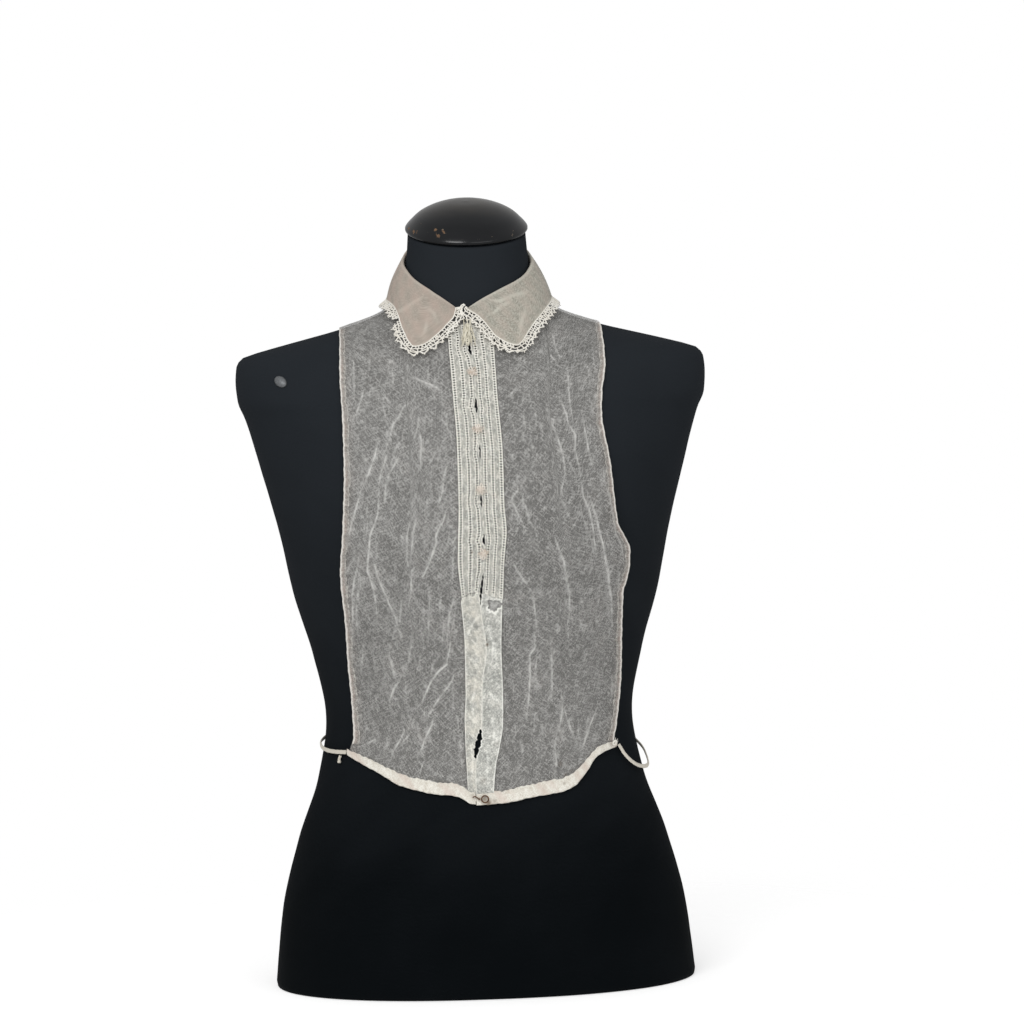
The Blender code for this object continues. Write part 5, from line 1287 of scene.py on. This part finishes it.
class EdgeMap:
    """The lace's own plane: along the fall's edge from the left tip round the back, and out from it."""

    def __init__(self):
        fine, turn, tail = 1500, 51, np.linspace(0.12, 1.0, 40)[:-1]
        part, side = both_sides(fine), np.repeat([-1.0, 1.0], [fine, fine - 1])
        tips = [fall_points(np.full(39, one), np.zeros(39), tail) for one in (-1.0, 1.0)]
        self.points = np.concatenate([tips[0], collar_edge(side, part), tips[1][::-1]])
        self.rest, normal = rise_of(self.points)
        steps = np.linalg.norm(np.diff(self.points, axis=0), axis=1)
        self.along = np.concatenate([[0.0], np.cumsum(steps)]) / MM
        self.length = self.along[-1]
        run = np.gradient(self.points, self.along, axis=0)
        kernel = np.hanning(turn) / np.hanning(turn).sum()
        run = np.pad(run, ((turn // 2, turn // 2), (0, 0)), mode="edge")
        run = np.stack([np.convolve(run[:, i], kernel, "valid") for i in range(3)], -1)
        self.outward = unit(np.cross(normal, run))

    def at(self, s, t, rise=0.0):
        """Points at s along the edge and t out from it, this far above the lace's own rest."""
        s, t = np.broadcast_arrays(np.asarray(s, float), np.asarray(t, float))
        base, out = (np.stack([np.interp(s, self.along, grid[:, i]) for i in range(3)], -1)
                     for grid in (self.points, self.outward))
        rest = np.interp(s, self.along, self.rest) + (0.75 - 0.9 * t / 8.0) * MM
        narrow = 0.45 + 0.55 * ramp(np.minimum(s, self.length - s), 0.0, 9.0)
        return settle(base + unit(out) * (t * narrow)[..., None] * MM, rest + rise * MM)


class Lace:
    """The lace's threads, each as places along the edge and out from it, its rise, radius and shade."""

    def __init__(self):
        self.edge = EdgeMap()
        self.end = self.edge.length
        away = np.linalg.norm(self.edge.points / MM - np.array(LACE_TEAR), axis=1)
        self.tear = self.edge.along[np.argmin(away)]
        self.along, self.out, self.rise, self.radii, self.shades = [], [], [], [], []

    def thread(self, s, t, radius, rise, shade):
        self.along.append(np.asarray(s, float))
        self.out.append(np.asarray(t, float))
        self.rise.append(np.full(len(s), rise))
        self.radii.append(1.12 * radius * MM)
        self.shades.append(shade)

    def rail(self, t, radius, wander, rise, shade, gap=0.0):
        """A thread along the whole edge, broken over the tear where a gap is given."""
        long_s = np.arange(0.2, self.end - 0.2, 0.6)
        noise = RANDOM.normal(0.0, wander, len(long_s) + 6)
        swing = np.convolve(noise, np.ones(7) / 7.0, "valid") * 2.0
        stretches = ((0.0, self.tear - gap), (self.tear + gap, self.end)) if gap else ((0.0, self.end),)
        for first, last in stretches:
            piece = (long_s >= first) & (long_s <= last)
            if piece.sum() > 3:
                self.thread(long_s[piece], t + swing[piece], radius, rise, shade)

    def cells(self, low, high, narrowest, widest, missing, radius):
        """An uneven row of open cells between two rails."""
        s, middle = 0.6, 0.5 * (low + high)
        clear = 3.2 if high > 3.0 else 1.2
        while s < self.end - 2.0:
            width = RANDOM.uniform(narrowest, widest)
            if abs(s + 0.5 * width - self.tear) > clear and RANDOM.random() > missing:
                lean = RANDOM.normal(0.0, 0.55)
                bow = RANDOM.normal(0.0, 0.25)
                self.thread([s - lean, s + bow, s + lean], [low - 0.2, middle, high + 0.2],
                            RANDOM.uniform(*radius), 0.0, RANDOM.uniform(0.5, 1.0))
                if RANDOM.random() < 0.35:
                    self.thread([s + lean, s + lean + 0.5 * width, s + width - lean],
                                [high, middle + 0.3, low + RANDOM.uniform(0.0, 0.8)],
                                RANDOM.uniform(0.30, 0.42), -0.05, RANDOM.uniform(0.3, 0.9))
            s += width

    def scallop(self, a, b, top):
        """One pointed scallop between two places on the outer rail, with its picots."""
        tip = (b - a) * RANDOM.uniform(0.42, 0.58)
        depth = RANDOM.uniform(1.9, 3.3)
        for share in (0.10, 0.90):
            u = np.linspace(0.0, 1.0, 7)
            foot = a + (b - a) * share
            noise = RANDOM.normal(0.0, 0.06, 7)
            self.thread(foot + (a + tip - foot) * u, top + depth * u ** 0.8 + noise,
                        RANDOM.uniform(0.42, 0.52), 0.1, RANDOM.uniform(0.7, 1.0))
        for share in (0.06, 0.28, 0.52, 0.74, 0.96):
            s = a + (b - a) * share + RANDOM.normal(0.0, 0.2)
            peak = max(0.0, 1.0 - abs(s - a - tip) / (0.45 * (b - a)))
            reach = RANDOM.uniform(0.7, 1.6)
            lean = RANDOM.normal(0.0, 0.5)
            root = top + 0.2 + depth * peak
            self.thread([s, s + 0.5 * lean, s + lean], [root - 0.3, root + 0.5 * reach, root + reach],
                        RANDOM.uniform(0.32, 0.44), 0.1, RANDOM.uniform(0.7, 1.0))
        if RANDOM.random() < 0.6:
            self.thread([a + tip - 0.1, a + tip + RANDOM.normal(0.0, 0.3)],
                        [top + depth, top + depth + 0.9], 0.38, 0.05, 0.9)

    def scallops(self, top, pitch):
        """Scallops along the outer rail, but none over the tear."""
        repeats = int(round(self.end / pitch))
        noise = RANDOM.normal(0.0, 0.5, repeats - 1)
        bounds = np.arange(repeats + 1) * (self.end / repeats) + np.concatenate([[0.0], noise, [0.0]])
        for a, b in zip(bounds, bounds[1:]):
            if not a - 0.6 < self.tear < b + 0.6:
                self.scallop(a, b, top)

    def lay(self, name):
        """The threads on the collar, as one piece."""
        splits = np.cumsum([len(s) for s in self.along])[:-1]
        along = np.clip(np.concatenate(self.along), LACE_ENDS, self.end - LACE_ENDS)
        points = self.edge.at(along, np.concatenate(self.out), np.concatenate(self.rise))
        outs = form_normal(*foot_of(points))
        return tubes(name, np.split(points, splits), np.split(outs, splits), self.radii, 6,
                     "lace_thread", shades=self.shades)


def make_lace():
    """Needle lace: a cord sewn to the cloth, two rows of open cells between wandering rails, and scallops."""
    lace = Lace()
    inner, middle, outer = -0.05, 2.4, 4.8
    lace.rail(inner, 0.48, 0.12, 0.15, 0.8)
    lace.cells(0.1, middle, 1.7, 3.2, 0.10, (0.36, 0.52))
    lace.rail(middle, 0.42, 0.55, 0.0, 0.75, gap=1.6)
    lace.cells(middle, outer, 2.0, 3.9, 0.06, (0.38, 0.56))
    lace.rail(outer, 0.46, 0.40, 0.05, 0.8, gap=3.0)
    lace.scallops(outer, 6.2)
    return lace.lay("collar_lace_threads")


# ---- buttons, tuft, hook and eye -----------------------------------------------------------------
# Each button's height and how far it is shifted from the opening.
BUTTON_PLACES = ((482.0, -1.6), (438.5, -0.5), (394.5, 0.0), (346.5, 0.0))
BUTTON_RADIUS, BUTTON_LIFT = 3.7, 5.25
BUTTON_PETALS, BUTTON_KNOTS = 7, 5
TUFT_HEIGHT, TUFT_STRANDS, TUFT_LOOPS = 506.5, 34, 5


def make_button(number, level, shift):
    """A worked button: a low thread core under uneven loops that stand out like petals."""
    height = level * MM
    azimuth = azimuth_at(OPENING.across(height) + shift * MM, height, -1)
    placing = outward_frame(azimuth, height, (BUTTON_LIFT - 0.35) * MM, RANDOM.uniform(0.0, 1.0))
    threads = Threads()
    for petal in range(BUTTON_PETALS):
        turn = 2.0 * math.pi * (petal + RANDOM.normal(0.0, 0.14)) / BUTTON_PETALS
        reach, wide = BUTTON_RADIUS * RANDOM.uniform(0.80, 1.35), RANDOM.uniform(0.7, 1.1)
        u = np.linspace(0.0, 2.0 * math.pi, 13)
        out = 0.5 * reach * (1.0 - np.cos(u)) + 0.25
        side = wide * np.sin(u)
        rise = 1.75 - 0.95 * (out / BUTTON_RADIUS) ** 2 + RANDOM.normal(0.0, 0.12)
        line = np.stack([out * math.cos(turn) - side * math.sin(turn),
                         out * math.sin(turn) + side * math.cos(turn), rise], -1)
        threads.add(line, RANDOM.uniform(0.36, 0.50), RANDOM.choice([0.0, 0.8, 1.0, 1.0]))
    for _ in range(BUTTON_KNOTS):
        middle, way = RANDOM.normal(0.0, 0.7, 2), RANDOM.normal(0.0, 0.7, 2)
        threads.add([[*(middle - way), 1.9], [*middle, 2.4], [*(middle + way), 1.9]],
                    RANDOM.uniform(0.36, 0.50), RANDOM.uniform(0.0, 1.0))
    made = threads.lay(f"thread_button_{number}", placing, 8, "button_thread", "thread")
    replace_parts(made, f"button_{number}")
    core = np.array([(0.0, 1.7), (1.3, 1.65), (2.1, 1.2), (2.6, 0.4), (2.2, 0.0), (0.0, 0.0)])
    turned(f"button_core_{number}", core * MM, 28, "button_thread", placing)


def make_tuft():
    """Loose cream threads that close the neck where the laces meet."""
    height = TUFT_HEIGHT * MM
    azimuth = azimuth_at(OPENING.across(height), height, -1)
    placing = outward_frame(azimuth, height, (BUTTON_LIFT - 0.5) * MM + NECK_EASE)
    threads = Threads()
    for _ in range(TUFT_STRANDS):
        x, fan = RANDOM.uniform(-4.4, 4.4), RANDOM.normal(0.0, 1.2)
        top, bottom = RANDOM.uniform(9.0, 19.0), RANDOM.uniform(-5.5, 7.0)
        u = np.linspace(0.0, 1.0, 11)
        curl = RANDOM.normal(0.0, 0.7)
        across = x * (0.65 + 0.7 * u) + fan * 1.5 * u + curl * np.sin(2.2 * math.pi * u)
        out = 0.5 + RANDOM.uniform(0.2, 1.5) * np.sin(math.pi * u) + 1.2 * (1.0 - u)
        # A random shade for each strand; the darkest strands take the olive colour, partly painted shadow
        # among them.
        threads.add(np.stack([across, top + (bottom - top) * u, out], -1), RANDOM.uniform(0.20, 0.40),
                    RANDOM.uniform(0.0, 1.0))
    for _ in range(TUFT_LOOPS):
        turn = np.linspace(0.0, 2.0 * math.pi, 13)
        size = RANDOM.uniform(0.8, 1.4)
        x, y = RANDOM.normal(0.0, 1.4), RANDOM.uniform(-3.0, 4.0)
        line = np.stack([x + size * np.cos(turn), y + 1.3 * size * np.sin(turn),
                         1.3 + 0.4 * np.sin(turn)], -1)
        threads.add(line, RANDOM.uniform(0.24, 0.36), RANDOM.uniform(0.6, 1.0))
    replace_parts(threads.lay("neck_threads", placing, 6, "neck_thread", "thread"), "neck_tuft")


def dress_wire():
    """The hook and the eye keep the part's own shape, with a rusty finish."""
    for name in ("hook", "eye"):
        node = bpy.data.objects[name]
        node.data.materials.clear()
        node.data.materials.append(MATERIALS["rusty_wire"])


# ---- the ties ------------------------------------------------------------------------------------
TAPE_RADIUS, TAPE_FLATNESS = 1.62, 0.42         # half a tie's width in millimetres, and how flat it is


def route_line(route, per_stretch):
    """A smooth line through a route's places above the form, and the ways out of the form along it."""
    azimuth, height, distance = (np.array(column) for column in zip(*route))
    line = through(above_form(azimuth * DEGREE, height * MM, distance * MM), per_stretch)
    return line, form_normal(*foot_of(line))


def make_tie(name, route):
    """A narrow folded tape; also gives its middle line."""
    line, out = route_line(route, 14)
    ripple = waves(np.arange(len(line)) * MM, 0.0, "9 0 0.5, 4.3 0 0.4")
    made = tubes(f"{name}_tape", [line], [out], [(TAPE_RADIUS + 0.12 * ripple) * MM], 14,
                 "tape_cloth", TAPE_FLATNESS)
    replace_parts(made, name)
    return made, line


def make_tie_end():
    """The short knotted end that hangs from the left tie."""
    line, out = route_line(TIE_END_ROUTE, 13)
    share = np.linspace(0.0, 1.0, len(line))
    beads = TIE_END_RADIUS * 0.92 * (1.0 + 0.16 * np.sin(share * 26.0) + 0.25 * (share > 0.75))
    end = tubes("tie_left_knotted_end", [line], [out], [beads], 12, "tape_cloth")
    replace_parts(end, "tie_left_end")
    return end


def make_knot():
    """The knot on the right corner: three loops of tape and a few frayed threads."""
    azimuth, height = KNOT_PLACE[0] * DEGREE, KNOT_PLACE[1] * MM
    threads = Threads()
    for turn, size, thick in ((0.3, 1.7, 0.85), (1.9, 1.5, 0.75), (-0.9, 1.3, 0.7)):
        angle = np.linspace(0.0, 2.0 * math.pi, 17)[:-1]
        ring = np.stack([size * np.cos(angle), 0.8 * size * np.sin(angle),
                         1.5 + 0.9 * np.sin(angle + turn)], -1)
        cosine, sine = math.cos(turn), math.sin(turn)
        ring[:, :2] = ring[:, :2] @ np.array([[cosine, sine], [-sine, cosine]])
        threads.add(ring, thick, 0.6)
    for _ in range(9):
        reach, lean = RANDOM.uniform(2.0, 4.2), RANDOM.uniform(-0.4, 1.1)
        u = np.linspace(0.0, 1.0, 6)
        line = np.stack([0.8 + reach * u * math.cos(lean), 1.0 + reach * u * math.sin(lean),
                         2.0 - 0.9 * u**2 + RANDOM.normal(0.0, 0.2) * u], -1)
        threads.add(line, 0.16, RANDOM.uniform(0.4, 1.0))
    placing = outward_frame(azimuth, height, LAY + 3.7 * MM)
    knot = threads.lay("tie_right_knotted", placing, 8, "lace_thread", "tape")
    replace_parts(knot, "tie_right_knot")
    return knot


def make_ties():
    """The two ties: the left drawn straight round the side, the right hanging in a loop."""
    made = {name: make_tie(name, route) for name, route in TIE_ROUTES.items()}
    extras = {"tie_left": ("taut", make_tie_end()), "tie_right": ("hanging", make_knot())}
    for name, (lay, extra) in extras.items():
        tape, line = made[name]
        length = float(np.linalg.norm(np.diff(line, axis=0), axis=1).sum())


# ---- the form, its cap and its stud --------------------------------------------------------------
COVER_ROWS, COVER_COLUMNS, COVER_TOP = 170, 160, 596.5 * MM
CAP_PROFILE = rows_of("""
    0 24.9, 14 23.9, 27 20.4, 38 14.8, 45 8.4, 48.6 4.2, 48.9 2.4, 47.6 0.7, 45.5 0.3, 0 0.3""")
CAP_ROUNDED, CAP_RADIUS = 7, 48.9               # the profile's places up to here are rounded
STUD_ACROSS, STUD_HEIGHT = -150.0 * MM, 481.0 * MM
STUD_PROFILE = rows_of("0 2.6, 1.6 2.55, 3.2 2.25, 4.4 1.75, 5.2 1.1, 5.6 0.35, 5.5 0.05, 0 0")


def make_form():
    """The black cloth cover over the form's own shape, closed at the foot and under the cap."""
    rows, columns = COVER_ROWS, COVER_COLUMNS
    azimuth = np.linspace(-math.pi, math.pi, columns + 1)[:-1][None, :]
    height = np.linspace(0.0, COVER_TOP, rows)[:, None]
    slack = waves(azimuth * 150.0 * MM, height, "60 30 0.4, 38 -50 0.3, 23 70 0.3")
    foot = unit_clip(1.0 - height / (1.5 * MM))
    azimuth, height = np.broadcast_arrays(azimuth, height)
    rings = above_form(azimuth, height, 0.10 * MM * (slack - 1.0) - 1.0 * MM * foot)
    rings[0, :, 2] = 0.0
    index, after = ring_index(rows, columns)
    faces = np.stack([index[:-1], after[:-1], after[1:], index[1:]], -1).reshape(-1, 4).tolist()
    faces += [index[0][::-1].tolist(), index[-1].tolist()]
    closed = np.concatenate([rings, rings[:, :1]], axis=1)
    flat = np.stack([run_length(closed, 1)[:, :columns], run_length(rings, 0)], -1).reshape(-1, 2)
    mesh = mesh_from("form_cover", rings.reshape(-1, 3), faces, None, flat)
    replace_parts(finished("form_cover", mesh, "form_cloth"), "dress_form")


def make_cap():
    """The turned neck cap, its lacquer chipped at the rim."""
    front, back = form_point(0.0, NECK_TOP), form_point(math.pi, NECK_TOP)
    placing = (Matrix.Translation(Vector(0.5 * (front + back)))
               @ Matrix.Rotation(math.atan(NECK_SLANT), 4, "X"))
    rounded = through(CAP_PROFILE[:CAP_ROUNDED], 8)
    profile = np.clip(np.concatenate([rounded, CAP_PROFILE[CAP_ROUNDED:]]), 0.0, CAP_RADIUS)
    profile[0, 0] = 0.0
    made = turned("lacquered_cap", profile * MM, 160, "lacquer", placing)
    points = np.empty(len(made.data.vertices) * 3)
    made.data.vertices.foreach_get("co", points)
    points = points.reshape(-1, 3)
    local = np.linalg.inv(np.array(placing)) @ np.concatenate([points, np.ones((len(points), 1))], 1).T
    on_rim = bell(np.hypot(local[0], local[1]) / MM - 47.0, 3.0)
    worn = (0.25 * on_rim + spots(points[:, 0], points[:, 2], CAP_WEAR)) * (points[:, 1] < 0.0)
    keep_value(made.data, "worn", unit_clip(worn))
    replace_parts(made, "neck_cap")


def make_stud():
    """The oval metal stud high on the left side of the form."""
    azimuth = azimuth_at(STUD_ACROSS, STUD_HEIGHT, -1)
    placing = (outward_frame(azimuth, STUD_HEIGHT, 0.0, -35.0 * DEGREE)
               @ Matrix.Diagonal((1.1, 0.72, 1.0, 1.0)))
    made = turned("oval_stud", np.array(STUD_PROFILE) * MM, 48, "stud_metal", placing)
    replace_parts(made, "form_stud")


# ---- assembly ------------------------------------------------------------------------------------
def make_nets():
    """The fronts and the back with their side hems."""
    for side, word in SIDES.items():
        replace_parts(make_front(side), f"front_{word}")
        edge = SIDE_EDGE[side].across
        make_side_hem(f"side_hem_{word}", side, -1, edge, SIDE_HEM_FOOT[side], seam_height(edge))
    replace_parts(make_back(), "back")
    edge = BACK_EDGE.across
    for side, word in SIDES.items():
        make_side_hem(f"back_hem_{word}", side, 1, edge, 205.0 * MM, seam_height(edge))


def make_sewn_pieces():
    """The strips, the tapes, the collar and its lace."""
    for side, word in SIDES.items():
        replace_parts(make_placket(side), f"placket_{word}")
    for side, word in SIDES.items():
        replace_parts(make_facing(side), f"facing_{word}")
    make_bands()
    for word in ("left", "right", "back"):
        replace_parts(MADE[f"hem_tape_{word}"], f"hem_band_{word}")
    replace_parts(make_collar(), "collar")
    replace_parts(make_lace(), "collar_lace")


make_form()
make_cap()
make_stud()
make_nets()
make_sewn_pieces()
for button, (level, shift) in enumerate(BUTTON_PLACES, 1):
    make_button(button, level, shift)
make_tuft()
make_ties()
dress_wire()


# ---- stage ---------------------------------------------------------------------------------------
LIGHTS = (
    # place, size, power
    ((-0.7, -1.7, 1.45), 0.9, 15.0),
    ((0.9, -2.0, 1.0), 1.4, 7.0),
)
LIGHT_AIM = Vector((0.0, 0.0, 0.40))
SURROUND_LIGHT, SURROUND_SEEN = 0.50, 1.0
FLOOR_RADIUS, FLOOR_LEVEL = 0.62, -0.5 * MM


def make_floor():
    """A pale floor that fades into the surround."""
    bpy.ops.mesh.primitive_circle_add(vertices=96, radius=FLOOR_RADIUS, fill_type="NGON",
                                      location=(0.0, 0.0, FLOOR_LEVEL))
    floor = bpy.context.object
    floor.name = "stage_floor"
    floor.data.materials.append(MATERIALS["pale_floor"])


def make_surround():
    """A white surround that lights the part at half its seen strength."""
    scene = bpy.context.scene
    scene.view_settings.view_transform = "Standard"
    world = scene.world or bpy.data.worlds.new("world")
    scene.world = world
    world.use_nodes = True
    nodes, links = world.node_tree.nodes, world.node_tree.links
    surround = nodes["Background"]
    surround.inputs["Color"].default_value = (1.0, 1.0, 1.0, 1.0)
    seen = nodes.new("ShaderNodeLightPath").outputs["Is Camera Ray"]
    strength = nodes.new("ShaderNodeMapRange")
    strength.inputs["To Min"].default_value = SURROUND_LIGHT
    strength.inputs["To Max"].default_value = SURROUND_SEEN
    links.new(seen, strength.inputs["Value"])
    links.new(strength.outputs[0], surround.inputs["Strength"])


def make_lights():
    """Soft light from in front and above."""
    for place, size, power in LIGHTS:
        data = bpy.data.lights.new("soft_light", "AREA")
        data.size, data.energy = size, power
        light = bpy.data.objects.new("soft_light", data)
        bpy.context.scene.collection.objects.link(light)
        light.location = place
        light.rotation_euler = (LIGHT_AIM - Vector(place)).to_track_quat("-Z", "Y").to_euler()


make_floor()
make_surround()
make_lights()
bpy.context.view_layer.update()
